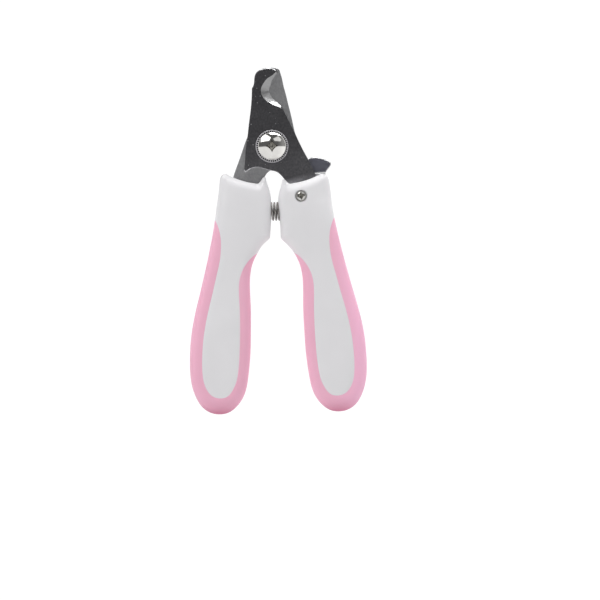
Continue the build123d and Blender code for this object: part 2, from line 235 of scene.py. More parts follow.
def grid_points(loops, pitch, clear):
    lo, hi = loops[0].min(0), loops[0].max(0)
    pts = []
    j = 0
    y = lo[1]
    while y < hi[1]:
        x0 = lo[0] + (pitch / 2 if j % 2 else 0)
        pts += [(x, y) for x in np.arange(x0, hi[0], pitch)]
        y += pitch * 0.866
        j += 1
    p = np.array(pts)
    keep = inside(p, loops[0])
    for lp in loops[1:]:
        keep &= ~inside(p, lp)
    p = p[keep]
    for lp in loops:
        p = p[distance(p, lp) > clear]
    return p


def slab(bd, loops, ztop, zbot, extra=(), lines=(), mat_top=None, mat_side=0, mat_bot=0,
         flat_bottom=False, bevel=0.0, wall_rows=()):
    """A solid between two height fields over a region. flat_bottom caps it with its outline
    alone, with a small bevel along the lower edge; otherwise both skins share one mesh."""
    v2, f2 = triangulate(loops, extra, lines)
    used = np.unique(f2)
    remap = -np.ones(len(v2), int)
    remap[used] = np.arange(len(used))
    v2, f2 = v2[used], remap[f2]
    zt = ztop(v2)
    top = np.column_stack([v2, zt])
    mt = 0 if mat_top is None else mat_top(v2[f2].mean(1))
    e = {}
    for a, b, c in f2:
        for s, t in ((a, b), (b, c), (c, a)):
            e[(s, t)] = True
    border = [(s, t) for (s, t) in e if (t, s) not in e]
    nv = len(v2)
    if not flat_bottom:
        zb = zbot(v2)
        bd.add(np.vstack([top, np.column_stack([v2, zb])]),
               [tuple(f) for f in f2] + [tuple(f[::-1] + nv) for f in f2]
               + [(s, s + nv, t + nv, t) for s, t in border],
               list(np.broadcast_to(mt, len(f2))) + [mat_bot] * len(f2) + [mat_side] * len(border))
        return
    # order the border into loops, so that the bottom cap can be a mesh of its own
    nxt = dict(border)
    seen, chains = set(), []
    for s in nxt:
        if s in seen:
            continue
        ch, q = [], s
        while q not in seen:
            seen.add(q)
            ch.append(q)
            q = nxt[q]
        chains.append(ch)
    verts = [tuple(q) for q in top]
    faces = [tuple(f) for f in f2]
    mats = list(np.broadcast_to(mt, len(f2)))
    caps = []
    zb = float(np.mean(zbot(v2[:1])))
    for ch in chains:
        pl = v2[ch]
        k = len(ch)
        rows = [ch]
        for z, d in list(wall_rows) + [(zb + bevel, 0.0), (zb, bevel)]:
            q = inset_all(pl, d) if d > 0 else pl
            n0 = len(verts)
            verts += [(x, y, z) for x, y in q]
            rows.append(list(range(n0, n0 + k)))
        for r0, r1 in zip(rows[:-1], rows[1:]):
            for i in range(k):
                j = (i + 1) % k
                faces.append((r0[i], r1[i], r1[j], r0[j]))
                mats.append(mat_side)
        caps.append((rows[-1], np.array([verts[i][:2] for i in rows[-1]])))
    caps.sort(key=lambda c: -abs(np.ptp(c[1][:, 0])))
    b2, bf = triangulate([c[1] for c in caps], [])
    order = np.concatenate([c[0] for c in caps])
    allp = np.vstack([c[1] for c in caps])
    look = [int(order[np.argmin(((allp - q) ** 2).sum(1))]) for q in b2]
    for f in bf:
        faces.append((look[f[2]], look[f[1]], look[f[0]]))
        mats.append(mat_bot)
    bd.add(verts, faces, mats)


def U(side, pts):
    return [(AX + side * u, y) for u, y in pts]


# ------------------------------------------------------------------ handle outlines
OUTER = [(21.0, -22), (21.92, -28), (23.15, -34), (24.5, -40), (26.0, -46),
         (27.55, -52), (29.15, -58), (30.55, -64), (31.5, -70), (31.93, -76),
         (31.92, -82), (30.9, -88), (29.7, -91), (27.75, -93.9), (24.9, -95.85),
         (21.5, -96.5)]
INNER = [(18.2, -95.85), (15.5, -93.9), (13.25, -91), (12.0, -88), (11.3, -85),
         (10.85, -82), (10.15, -76), (9.8, -70), (9.6, -64), (9.52, -58),
         (9.65, -52), (9.35, -46), (8.7, -43), (7.45, -40)]
PANEL = [(21.95, -25.4), (20.75, -28), (19.9, -31), (19.6, -34), (19.68, -37),
         (20.0, -40), (21.4, -46), (22.9, -52), (24.5, -58), (25.9, -64),
         (26.9, -70), (27.4, -76), (27.4, -82), (27.0, -84.8), (25.85, -87.7),
         (24.0, -89.8), (21.4, -90.65), (18.7, -90.1), (16.8, -88), (15.35, -85),
         (14.65, -82), (13.95, -76), (13.6, -70), (13.42, -64), (13.4, -58),
         (13.55, -52), (13.35, -49), (12.6, -46), (11.1, -43), (9.5, -40.95),
         (8.5, -39.95), (7.6, -39.25)]
SCREWS = [(12.3, -28.5), (19.4, -60.0), (21.3, -85.0)]


def handle_loop(side):
    if side > 0:
        top = [(3.5, -12.0), (4.2, -12.0), (5.9, -13.8)]
        brow = [(5.9, -13.8), (10.0, -13.08), (14.0, -11.92), (17.3, -10.5)]
        corner = [(17.3, -10.5), (19.3, -10.8), (20.3, -12.8)]
        outer0 = [(20.3, -12.8), (20.78, -16.5)]
        web = [(6.5, -37.9), (4.7, -35.75), (2.95, -33.95)]
        nose = [(2.95, -33.95), (2.42, -33.3), (2.3, -32.4)]
        inner = [(2.3, -32.4), (2.2, -28.0), (1.95, -23.5), (1.75, -19.5),
                 (2.2, -16.7), (2.95, -14.2), (3.5, -12.0)]
    else:
        top = [(-2.7, -11.15), (-3.5, -11.15), (-5.2, -13.5)]
        brow = [(-5.2, -13.5), (-9.5, -12.65), (-13.5, -11.3), (-16.6, -9.8)]
        corner = [(-16.6, -9.8), (-17.9, -9.72), (-18.7, -10.35), (-19.25, -12.1)]
        outer0 = [(-19.25, -12.1), (-19.8, -16.5)]
        web = [(-5.9, -37.9), (-4.1, -35.35), (-2.3, -33.75)]
        nose = [(-2.3, -33.75), (-1.7, -33.2), (-1.5, -32.4)]
        inner = [(-1.5, -32.4), (-1.15, -28.0), (-0.95, -23.5), (-0.85, -19.5),
                 (-1.2, -16.4), (-1.95, -13.8), (-2.7, -11.15)]
    # the small corners of the top edge are rounded
    def round_corner(a, b, c, r):
        a, b, c = map(lambda q: np.array(q, float), (a, b, c))
        u, w = (a - b) / np.linalg.norm(a - b), (c - b) / np.linalg.norm(c - b)
        p0, p1 = b + u * r, b + w * r
        s = np.linspace(0, 1, 7)[:, None]
        return (1 - s) ** 2 * p0 + 2 * s * (1 - s) * b + s ** 2 * p1
    long_run = outer0 + U(side, OUTER) + U(side, INNER) + web
    r1 = round_corner(inner[-2], top[0], top[1], 0.3)
    r2 = round_corner(top[0], top[1], top[2], 0.35)
    r3 = round_corner(top[1], top[2], brow[1], 0.7)
    b0 = natural(brow, 0.35)
    b0 = b0[np.hypot(*(b0 - np.array(top[2])).T) > 0.7]
    i0 = natural(inner, 0.35)
    i0 = i0[np.hypot(*(i0 - np.array(top[0])).T) > 0.3]
    return loop_of(r1, r2, r3, b0, natural(corner, 0.3), natural(long_run, 0.45),
                   natural(nose, 0.2), i0)


def panel_line(side):
    "the panel's edge, run on straight until it has left the handle in the crotch"
    c = natural(U(side, PANEL), 0.3)
    return np.vstack([c, line(c[-1], (AX + side * 5.0, -37.6), 0.3)[1:]])


def split_handle(side):
    "the white region (panel and whole upper handle) and the band region, sharing one seam line"
    hl = handle_loop(side)
    pl = panel_line(side)
    ins = inside(pl, hl)
    i0 = int(np.argmax(ins))
    i1 = len(ins) - int(np.argmax(ins[::-1]))
    seam = pl[i0:i1]

    def hit(a, b):
        "where the segment a-b leaves the handle outline: index of the segment and point"
        p, r = a, b - a
        q = hl
        s = np.roll(hl, -1, axis=0) - hl
        rxs = r[0] * s[:, 1] - r[1] * s[:, 0]
        rxs = np.where(np.abs(rxs) < 1e-12, 1e-12, rxs)
        qp = q - p
        t = (qp[:, 0] * s[:, 1] - qp[:, 1] * s[:, 0]) / rxs
        u = (qp[:, 0] * r[1] - qp[:, 1] * r[0]) / rxs
        ok = (u >= 0) & (u <= 1) & (t >= 0) & (t <= 1.5)
        k = int(np.argmin(np.where(ok, np.abs(t), 1e9)))
        return k, p + t[k] * r
    ka, pa = hit(pl[i0], pl[i0 - 1] if i0 > 0 else pl[i0] - (pl[i0 + 1] - pl[i0]))
    kb, pb = hit(pl[i1 - 1], pl[i1] if i1 < len(pl) else pl[i1 - 1] + (pl[i1 - 1] - pl[i1 - 2]))
    seam = np.vstack([pa, seam, pb])
    n = len(hl)

    def run(k_from, k_to):
        "outline points after segment k_from up to the start of segment k_to"
        out, k = [], (k_from + 1) % n
        while True:
            out.append(hl[k])
            if k == k_to:
                break
            k = (k + 1) % n
        return np.array(out)
    one = loop_of(seam, run(kb, ka))
    two = loop_of(seam[::-1], run(ka, kb))
    white, band = (one, two) if one[:, 1].max() > two[:, 1].max() else (two, one)
    return hl, seam, white, band


ROUND_F, RISE_F = 3.6, 3.1    # width and height of the rounding on the handle's front edge
ROUND_B, RISE_B = 2.6, 2.4    # and on its back edge
BROW = (2.8, 2.8, 1.6)        # width, height and exponent of the fuller edge along the top


def handle_z(hl, seam, side, front):
    r, rise = (ROUND_F, RISE_F) if front else (ROUND_B, RISE_B)
    crown = 0.30 if front else 0.0
    b0, b1 = ((5.9, -13.8), (17.3, -10.5)) if side > 0 else ((-5.2, -13.5), (-16.6, -9.8))

    def z(p):
        d = distance(p, hl)
        below = p[:, 1] - b0[1] - (p[:, 0] - b0[0]) * (b1[1] - b0[1]) / (b1[0] - b0[0])
        m = smooth(-6.2, -3.6, below) if front else np.zeros(len(p))
        wide, up, pw = r + (BROW[0] - r) * m, rise + (BROW[1] - rise) * m, 2 + (BROW[2] - 2) * m
        q = 1 - np.minimum(d, wide) / wide
        h = HZ - crown - up + up * np.maximum(1 - q ** pw, 0) ** (1 / pw)
        h += crown * smooth(0.0, 8.5, d)
        s = distance(p, seam, closed=False)
        h -= 0.06 * (1 - smooth(0.0, 0.14, s)) * smooth(0.05, 0.8, d)
        return h if front else -h
    return z


def rim_points(hl, region, seam, r, pitch):
    "rings along the outline for the rounded edge, two rings beside the seam, and a grid"
    pts = []
    for k in range(1, 9):
        ph = k * math.pi / 16
        d = r * (1 - math.cos(ph))
        pts.append(inset(hl, d))
    for d in (r * 1.25, r * 1.7):
        pts.append(inset(hl, d)[::2])
    p = np.vstack(pts)
    p = p[inside(p, region)]
    p = p[distance(p, region) > 0.03]
    near = distance(p, seam, closed=False)
    p = p[near > 0.22]
    s = seam[1:-1]
    t = np.gradient(seam, axis=0)[1:-1]
    t /= np.linalg.norm(t, axis=1)[:, None]
    nn = np.stack([-t[:, 1], t[:, 0]], 1)
    sp = [s + nn * d for d in (-0.15, 0.15, -0.07, 0.07)]
    sp = np.vstack(sp)
    sp = sp[inside(sp, region)]
    sp = sp[(distance(sp, region) > 0.04) & (distance(sp, hl) > 0.05)]
    g = grid_points([region], pitch, 0.35)
    dg = distance(g, hl)
    g = g[(dg > r * 1.75) & (distance(g, seam, closed=False) > 0.4)]
    return np.vstack([p, sp, g])


# ------------------------------------------------------------------ materials
def new_mat(name):
    m = bpy.data.materials.new(name)
    m.use_nodes = True
    nt = m.node_tree
    return m, nt, nt.nodes["Principled BSDF"]


def N(nt, kind, **kw):
    n = nt.nodes.new(kind)
    for k, v in kw.items():
        if k in n.inputs:
            n.inputs[k].default_value = v
        else:
            setattr(n, k, v)
    return n


def coords(nt, scale, rot=(0, 0, 0)):
    tc = N(nt, "ShaderNodeTexCoord")
    mp = N(nt, "ShaderNodeMapping")
    mp.inputs["Scale"].default_value = scale
    mp.inputs["Rotation"].default_value = rot
    nt.links.new(tc.outputs["Object"], mp.inputs["Vector"])
    return mp.outputs["Vector"]


def noise(nt, vec, scale, detail=3.0, rough=0.5):
    n = N(nt, "ShaderNodeTexNoise")
    n.inputs["Scale"].default_value = scale
    n.inputs["Detail"].default_value = detail
    n.inputs["Roughness"].default_value = rough
    nt.links.new(vec, n.inputs["Vector"])
    return n.outputs["Fac"]


def ramp(nt, fac, stops, interp="LINEAR"):
    r = N(nt, "ShaderNodeValToRGB")
    r.color_ramp.interpolation = interp
    el = r.color_ramp.elements
    while len(el) < len(stops):
        el.new(0.5)
    for e, (pos, col) in zip(el, stops):
        e.position = pos
        e.color = (*col, 1) if len(col) == 3 else col
    nt.links.new(fac, r.inputs["Fac"])
    return r.outputs["Color"]


def maprange(nt, val, a, b, c, d):
    m = N(nt, "ShaderNodeMapRange")
    m.inputs["From Min"].default_value = a
    m.inputs["From Max"].default_value = b
    m.inputs["To Min"].default_value = c
    m.inputs["To Max"].default_value = d
    nt.links.new(val, m.inputs["Value"])
    return m.outputs["Result"]


def bump(nt, bsdf, height, strength, distance_m):
    b = N(nt, "ShaderNodeBump")
    b.inputs["Strength"].default_value = strength
    b.inputs["Distance"].default_value = distance_m
    nt.links.new(height, b.inputs["Height"])
    nt.links.new(b.outputs["Normal"], bsdf.inputs["Normal"])
    return b


def mixc(nt, fac, a, b):
    m = N(nt, "ShaderNodeMix")
    m.data_type = "RGBA"
    for key, v in ((6, a), (7, b)):
        if isinstance(v, tuple):
            m.inputs[key].default_value = (*v, 1)
        else:
            nt.links.new(v, m.inputs[key])
    if isinstance(fac, float):
        m.inputs[0].default_value = fac
    else:
        nt.links.new(fac, m.inputs[0])
    return m.outputs[2]


def darken(nt, fac, col, by):
    "colour times by, as far as fac says; by may also be a linked grey"
    mx = N(nt, "ShaderNodeMix")
    mx.data_type, mx.blend_type = "RGBA", "MULTIPLY"
    if isinstance(fac, float):
        mx.inputs[0].default_value = fac
    else:
        nt.links.new(fac, mx.inputs[0])
    nt.links.new(col, mx.inputs[6])
    if isinstance(by, float):
        mx.inputs[7].default_value = (by, by, by, 1)
    else:
        nt.links.new(by, mx.inputs[7])
    return mx.outputs[2]


def times(nt, a, b):
    m = N(nt, "ShaderNodeMath", operation="MULTIPLY")
    nt.links.new(a, m.inputs[0])
    nt.links.new(b, m.inputs[1])
    return m.outputs[0]


def painted_edge_shade(nt, col, low, sides, top=0.0102):
    """painted shade: the colour is darkened round the handle's outer edge, below a given height, so the rounded edge
    reads darker than the face;
    sides says how much of that there is at each distance right of the pivot, in mm"""
    at = N(nt, "ShaderNodeSeparateXYZ")
    nt.links.new(coords(nt, (1, 1, 1)), at.inputs[0])
    rim = maprange(nt, at.outputs["Z"], 0.0074, top, 1.0, 0.0)
    span = 0.033
    place = maprange(nt, at.outputs["X"], ORG[0] - span, ORG[0] + span, 0.0, 1.0)
    much = ramp(nt, place, [((x * MM + span) / (2 * span), (k, k, k)) for x, k in sides])
    return darken(nt, times(nt, rim, much), col, low)


def plastic(name, lo, hi, rough, spec=0.5, grain=0.25):
    """satin moulded plastic: faint colour drift, fine spark-eroded grain, uneven gloss; painted shade round the outer
    edge and the left upper corner, painted light and highlight in patches on the upper faces
    """
    m, nt, b = new_mat(name)
    big = noise(nt, coords(nt, (1, 1, 1)), 60.0, 2.0)
    # painted shade round the handle's outer edge
    col = painted_edge_shade(nt, ramp(nt, big, [(0.3, lo), (0.7, hi)]), 0.78,
                     [(-32, 0.75), (-21, 0.8), (-19, 1.0), (-15, 1.0), (-11, 0.1), (0, 0.0), (11, 0.0),
                      (15, 0.18), (32, 0.15)], 0.0106)
    at = N(nt, "ShaderNodeSeparateXYZ")
    nt.links.new(coords(nt, (1, 1, 1)), at.inputs[0])
    # painted shade round the left upper corner's rim, painted light down the right upper side
    rim = maprange(nt, at.outputs["Z"], 0.0080, 0.0098, 1.0, 0.0)
    corner = times(nt, maprange(nt, at.outputs["X"], ORG[0] - 0.0178, ORG[0] - 0.0135, 1.0, 0.0),
                   maprange(nt, at.outputs["Y"], ORG[1] - 0.0138, ORG[1] - 0.0112, 0.0, 1.0))
    col = darken(nt, times(nt, rim, corner), col, 0.88)
    down = maprange(nt, at.outputs["Y"], ORG[1] - 0.0310, ORG[1] - 0.0130, 0.0, 1.0)
    painted_light_right = times(nt, maprange(nt, at.outputs["X"], ORG[0] + 0.0110, ORG[0] + 0.0175, 0.0, 1.0),
                 ramp(nt, down, [(0.0, (0, 0, 0)), (0.6, (1, 1, 1)), (0.8, (0.3, 0.3, 0.3)), (1.0, (0, 0, 0))]))
    # painted light: the left shell's upper face a little lighter
    left = times(nt, maprange(nt, at.outputs["X"], ORG[0] - 0.0170, ORG[0] - 0.0090, 1.0, 0.0),
                 maprange(nt, at.outputs["Y"], ORG[1] - 0.0400, ORG[1] - 0.0300, 0.3, 1.0))
    left = times(nt, left, maprange(nt, at.outputs["Z"], 0.0100, 0.0107, 0.0, 1.0))
    # painted highlight: a lighter band along the right shell's brow
    slope = N(nt, "ShaderNodeMath", operation="MULTIPLY_ADD")
    nt.links.new(at.outputs["X"], slope.inputs[0])
    slope.inputs[1].default_value = -0.289
    nt.links.new(at.outputs["Y"], slope.inputs[2])
    brow0 = ORG[1] - 0.0138 - 0.289 * (ORG[0] + 0.0059)
    brow = times(nt, maprange(nt, slope.outputs[0], brow0 - 0.0028, brow0 - 0.0018, 0.0, 1.0),
                 ramp(nt, maprange(nt, at.outputs["X"], ORG[0], ORG[0] + 0.020, 0.0, 1.0),
                      [(0.25, (0, 0, 0)), (0.45, (1, 1, 1)), (0.78, (1, 1, 1)), (0.92, (0.1, 0.1, 0.1))]))
    col = darken(nt, 1.0, col, maprange(nt, painted_light_right, 0.0, 1.0, 1.0, 1.07))
    col = darken(nt, 1.0, col, maprange(nt, left, 0.0, 1.0, 1.0, 1.03))
    col = darken(nt, 1.0, col, maprange(nt, brow, 0.0, 1.0, 1.0, 1.06))
    nt.links.new(col, b.inputs["Base Color"])
    fine = noise(nt, coords(nt, (1, 1, 1)), 3200.0, 3.0, 0.6)
    mid = noise(nt, coords(nt, (1, 1, 1)), 380.0, 3.0)
    nt.links.new(maprange(nt, mid, 0.3, 0.7, rough - 0.04, rough + 0.05), b.inputs["Roughness"])
    bump(nt, b, fine, grain, 0.00002)
    b.inputs["Specular IOR Level"].default_value = spec
    b.inputs["Subsurface Weight"].default_value = 0.06
    b.inputs["Subsurface Radius"].default_value = (0.002, 0.002, 0.002)
    return m


END_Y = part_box("left_grip")[0][1]


def rubber(name, lo, hi, rough):
    """soft-touch elastomer: matte, with a fine pebbled skin and a little sheen; painted shade towards the handle's
    bottom end and round its edge, painted light down the right handle's outer side
    """
    m, nt, b = new_mat(name)
    big = noise(nt, coords(nt, (1, 1, 1)), 45.0, 2.0)
    at = N(nt, "ShaderNodeSeparateXYZ")
    nt.links.new(coords(nt, (1, 1, 1)), at.inputs[0])
    # painted shade: darker towards the handle's bottom end
    end = maprange(nt, at.outputs["Y"], END_Y, END_Y + 0.008, 1.0, 0.0)
    end_shade_mask = N(nt, "ShaderNodeMath", operation="POWER")
    nt.links.new(end, end_shade_mask.inputs[0])
    end_shade_mask.inputs[1].default_value = 3.0
    painted_end_shade = (lo[0] * 0.62, lo[1] * 0.36, lo[2] * 0.44)
    painted_side_light = (hi[0] * 1.03, hi[1] * 1.04, hi[2] * 1.08)
    # painted light: lighter and warmer down the right handle's outer side
    side = maprange(nt, at.outputs["X"], ORG[0] + 0.020, ORG[0] + 0.029, 0.0, 1.0)
    base = mixc(nt, side, ramp(nt, big, [(0.3, lo), (0.7, hi)]), painted_side_light)
    # painted shade round the outer edge
    nt.links.new(painted_edge_shade(nt, mixc(nt, end_shade_mask.outputs[0], base, painted_end_shade), 0.84,
                            [(-32, 1.0), (-17, 1.0), (-13, 0.1), (0, 0.0), (13, 0.1), (17, 0.5),
                             (32, 0.6)]), b.inputs["Base Color"])
    v = N(nt, "ShaderNodeTexVoronoi")
    v.inputs["Scale"].default_value = 3600.0
    nt.links.new(coords(nt, (1, 1, 1)), v.inputs["Vector"])
    mid = noise(nt, coords(nt, (1, 1, 1)), 420.0, 3.0)
    nt.links.new(maprange(nt, mid, 0.3, 0.7, rough - 0.05, rough + 0.05), b.inputs["Roughness"])
    bump(nt, b, v.outputs["Distance"], 0.35, 0.00003)
    b.inputs["Specular IOR Level"].default_value = 0.25
    b.inputs["Subsurface Weight"].default_value = 0.08
    b.inputs["Subsurface Radius"].default_value = (0.003, 0.0015, 0.0018)
    return m


def steel(name, lo, hi, rough, spread=0.06, grain=(1, 1, 1), rot=(0, 0, 0), scratch=0.2,
          specks=None, aniso=0.0, scale=900.0, along=None, metallic=1.0, painted_flank_light=None,
          foot=False):
    """ground or rolled steel: streaked tone and gloss along the grain, sparse bright specks, and optional painted
    reflection (a tone ramp in Y) and painted light (a lighter left flank, a paler foot above the right shell)
    """
    m, nt, b = new_mat(name)
    b.inputs["Metallic"].default_value = metallic
    streak = noise(nt, coords(nt, grain, rot), scale, 4.0, 0.6)
    blotch = noise(nt, coords(nt, (1, 1, 1)), 140.0, 4.0, 0.55)
    col = ramp(nt, streak, [(0.3, lo), (0.7, hi)])
    dark = tuple(c * 0.82 for c in lo)
    col = mixc(nt, maprange(nt, blotch, 0.35, 0.65, 0.35, 0.0), col, dark)
    if specks:
        v = N(nt, "ShaderNodeTexVoronoi")
        v.inputs["Scale"].default_value = specks[0]
        nt.links.new(coords(nt, (1, 1, 1)), v.inputs["Vector"])
        w = N(nt, "ShaderNodeTexWhiteNoise")
        nt.links.new(v.outputs["Color"], w.inputs["Vector"])
        pick = maprange(nt, w.outputs["Value"], 1 - specks[1], 1 - specks[1] + 0.001, 0.0, 1.0)
        dot = maprange(nt, v.outputs["Distance"], 0.10, 0.22, 1.0, 0.0)
        mul = N(nt, "ShaderNodeMath", operation="MULTIPLY")
        nt.links.new(pick, mul.inputs[0])
        nt.links.new(dot, mul.inputs[1])
        fac = mul.outputs[0]
        if len(specks) > 3:
            at = N(nt, "ShaderNodeSeparateXYZ")
            nt.links.new(coords(nt, (1, 1, 1)), at.inputs[0])
            part = N(nt, "ShaderNodeMath", operation="MULTIPLY")
            nt.links.new(fac, part.inputs[0])
            nt.links.new(maprange(nt, at.outputs["X"], specks[3], specks[4], 1.0, 0.12), part.inputs[1])
            fac = part.outputs[0]
        col = mixc(nt, fac, col, specks[2])
    # painted reflection: the tone ramps up and down in Y as the steel reflects brighter and darker surroundings
    if along:
        at = N(nt, "ShaderNodeSeparateXYZ")
        nt.links.new(coords(nt, (1, 1, 1)), at.inputs[0])
        y0, y1 = along[0][0], along[-1][0]
        f = maprange(nt, at.outputs["Y"], ORG[1] + y0 * MM, ORG[1] + y1 * MM, 0.0, 1.0)
        tone = ramp(nt, f, [((y - y0) / (y1 - y0), (k, k, k)) for y, k in along])
        mx = N(nt, "ShaderNodeMix")
        mx.data_type, mx.blend_type = "RGBA", "MULTIPLY"
        mx.inputs[0].default_value = 1.0
        nt.links.new(col, mx.inputs[6])
        nt.links.new(tone, mx.inputs[7])
        col = mx.outputs[2]
    # painted light: a lighter tone left of a given X
    if painted_flank_light:
        at = N(nt, "ShaderNodeSeparateXYZ")
        nt.links.new(coords(nt, (1, 1, 1)), at.inputs[0])
        col = darken(nt, 1.0, col, maprange(nt, at.outputs["X"], ORG[0] + painted_flank_light[0] * MM,
                                            ORG[0] + painted_flank_light[1] * MM, painted_flank_light[2], 1.0))
    if foot:
        # painted light: paler just above the right shell's top edge, most of all at its inner end
        at = N(nt, "ShaderNodeSeparateXYZ")
        nt.links.new(coords(nt, (1, 1, 1)), at.inputs[0])
        up = N(nt, "ShaderNodeMath", operation="MULTIPLY_ADD")
        nt.links.new(at.outputs["X"], up.inputs[0])
        up.inputs[1].default_value = -0.289
        nt.links.new(at.outputs["Y"], up.inputs[2])
        base = ORG[1] - 0.0138 - 0.289 * (ORG[0] + 0.0059)
        painted_foot_light = times(nt, maprange(nt, up.outputs[0], base, base + 0.0021, 1.0, 0.0),
                     maprange(nt, at.outputs["X"], ORG[0] + 0.0070, ORG[0] + 0.0125, 1.0, 0.3))
        col = darken(nt, 1.0, col, maprange(nt, painted_foot_light, 0.0, 1.0, 1.0, 3.1))
    nt.links.new(col, b.inputs["Base Color"])
    nt.links.new(maprange(nt, streak, 0.3, 0.7, rough - spread, rough + spread), b.inputs["Roughness"])
    if aniso:
        b.inputs["Anisotropic"].default_value = aniso
    bump(nt, b, streak, scratch, 0.000012)
    return m


M_WHITE = plastic("shell_plastic", (0.783, 0.775, 0.792), (0.813, 0.805, 0.822), 0.46, spec=0.34)
# the ledge's grey is painted shade on the white shell plastic
M_LEDGE_SHADE = plastic("ledge_plastic", (0.42, 0.42, 0.43), (0.48, 0.48, 0.49), 0.5, spec=0.3)
M_PINK = rubber("grip_rubber", (0.88, 0.472, 0.612), (0.915, 0.498, 0.643), 0.66)
# its tone ramp in Y is painted reflection, its foot painted light
M_FRONT = steel("blade_front_steel", (0.091, 0.0895, 0.0955), (0.148, 0.146, 0.155), 0.40,
                grain=(1, 0.75, 1), scratch=0.3, scale=1500.0,
                specks=(1000.0, 0.22, (0.64, 0.64, 0.66), ORG[0] - 0.001, ORG[0] + 0.004),
                foot=True, along=[(-13.0, 0.94), (-6.0, 0.97), (-2.0, 0.88), (2.0, 0.78), (8.0, 0.76), (15.0, 0.72),
                       (28.0, 0.70)])
# its left flank gets painted light
M_REAR = steel("blade_rear_steel", (0.285, 0.285, 0.293), (0.385, 0.385, 0.393), 0.42,
               grain=(1, 0.7, 1), scratch=0.35, scale=1500.0, specks=(900.0, 0.01, (0.5, 0.5, 0.5)),
               painted_flank_light=(-11.2, -9.6, 1.14))
# its tone ramp in Y is painted reflection down the ground bevel
M_GROUND = steel("blade_ground_edge", (0.62, 0.62, 0.63), (0.74, 0.74, 0.74), 0.34,
                 grain=(0.25, 1, 1), rot=(0, 0, 0.6), scratch=0.3, scale=1800.0,
                 along=[(14.0, 0.46), (15.2, 0.60), (16.7, 1.0), (17.6, 0.8), (18.4, 0.62), (19.4, 0.66),
                        (20.8, 0.45), (22.3, 0.47), (26.0, 0.47)])
M_EDGE = steel("blade_cut_side", (0.62, 0.62, 0.63), (0.72, 0.72, 0.73), 0.55,
               grain=(1, 1, 0.2), scratch=0.3, scale=1600.0)
M_CHROME = steel("pivot_chrome", (0.70, 0.69, 0.665), (0.76, 0.75, 0.725), 0.07, spread=0.02,
                 scratch=0.03, scale=500.0)
M_RING = steel("washer_zinc", (0.50, 0.49, 0.515), (0.60, 0.59, 0.61), 0.5, scratch=0.15, metallic=0.35)
M_NUT = steel("nut_zinc", (0.55, 0.56, 0.57), (0.68, 0.69, 0.70), 0.30, scratch=0.2)
M_SPRING = steel("spring_wire", (0.25, 0.235, 0.225), (0.38, 0.36, 0.35), 0.24, scratch=0.15)
M_LEVER = steel("lever_steel", (0.138, 0.140, 0.169), (0.182, 0.184, 0.220), 0.42,
                grain=(0.3, 1, 1), scratch=0.3, specks=(900.0, 0.01, (0.4, 0.4, 0.45)))
M_SCREW = steel("screw_plate", (0.60, 0.59, 0.565), (0.69, 0.68, 0.655), 0.16, spread=0.04, scratch=0.06)
M_BRASS = steel("insert_brass", (0.62, 0.45, 0.17), (0.74, 0.56, 0.25), 0.3, scratch=0.2)
M_BUSH = steel("bushing_steel", (0.45, 0.45, 0.45), (0.56, 0.56, 0.56), 0.3, scratch=0.2)
# the tooth washer's pits painted near black: painted shade in the pits
M_PIT_SHADE = steel("ring_pit", (0.018, 0.018, 0.018), (0.035, 0.035, 0.035), 0.5, scratch=0.1, metallic=0.5)
# cross recesses painted darker than the heads: painted shade inside the recess
M_RECESS_SHADE = steel("recess_dark", (0.22, 0.21, 0.185), (0.36, 0.35, 0.32), 0.10, scratch=0.1)


# ------------------------------------------------------------------ handles
def shell(side, front):
    hl, seam, white, band = split_handle(side)
    z = handle_z(hl, seam, side, front)
    r = ROUND_F if front else ROUND_B
    bd = Builder()
    extra = rim_points(hl, white, seam, r, 1.0)
    loops = [white]
    wells = []
    if front and side > 0:
        wells = [(LOCK_X, LOCK_Y, 2.17, 3.75)]
    if not front:
        wells = [(AX + side * u, y, 2.35, 3.75) for u, y in SCREWS]
    lines = []
    for x, y, wr, wz in wells:
        for rr in (wr + 0.32, wr + 0.16, wr, wr - 0.04):
            lines.append((circle(x, y, rr, 48), True))
        extra = extra[np.hypot(extra[:, 0] - x, extra[:, 1] - y) > wr + 0.45]
        extra = np.vstack([extra, [[x, y]], circle(x, y, 1.3, 16)])

    def zz(p):
        h = np.abs(z(p))
        for x, y, wr, wz in wells:
            q = np.hypot(p[:, 0] - x, p[:, 1] - y)
            lip = 0.16 * (1 - np.clip((q - wr) / 0.32, 0, 1)) ** 2
            h = np.where(q < wr + 0.32, h - lip, h)
            h = np.where(q < wr - 0.02, wz, h)
        return h if front else -h
    if front:
        slab(bd, loops, zz, lambda p: np.zeros(len(p)), extra, lines, flat_bottom=True, bevel=0.14)
    else:
        tmp = Builder()
        slab(tmp, loops, lambda p: -zz(p), lambda p: np.zeros(len(p)), extra, lines,
             flat_bottom=True, bevel=0.14)
        bd.add([(x, y, -h) for x, y, h in tmp.v], [f[::-1] for f in tmp.f], tmp.m)
    if not front and side > 0:
        # low ledge of the rear shell that shows under the lock lever, its grey plastic painted shade: the white shell
        # plastic in the lever's shadow
        rim = loop_of(line((15.3, -12.5), (15.4, -10.15)), line((15.4, -10.15), (19.1, -10.0)),
                      line((19.1, -10.0), (19.6, -12.5)), line((19.6, -12.5), (15.3, -12.5)))
        slab(bd, [rim], lambda p: -0.3 + np.minimum(0, distance(p, rim) - 0.3),
             lambda p: np.full(len(p), -4.0), inset(rim, 0.3),
             mat_top=lambda c: np.ones(len(c), int), mat_side=1, mat_bot=1)
    return bd


def grip(side):
    hl, seam, white, band = split_handle(side)
    zf = handle_z(hl, seam, side, True)
    zb = handle_z(hl, seam, side, False)
    bd = Builder()
    a = rim_points(hl, band, seam, ROUND_F, 1.0)
    slab(bd, [band], zf, zb, a)
    return bd


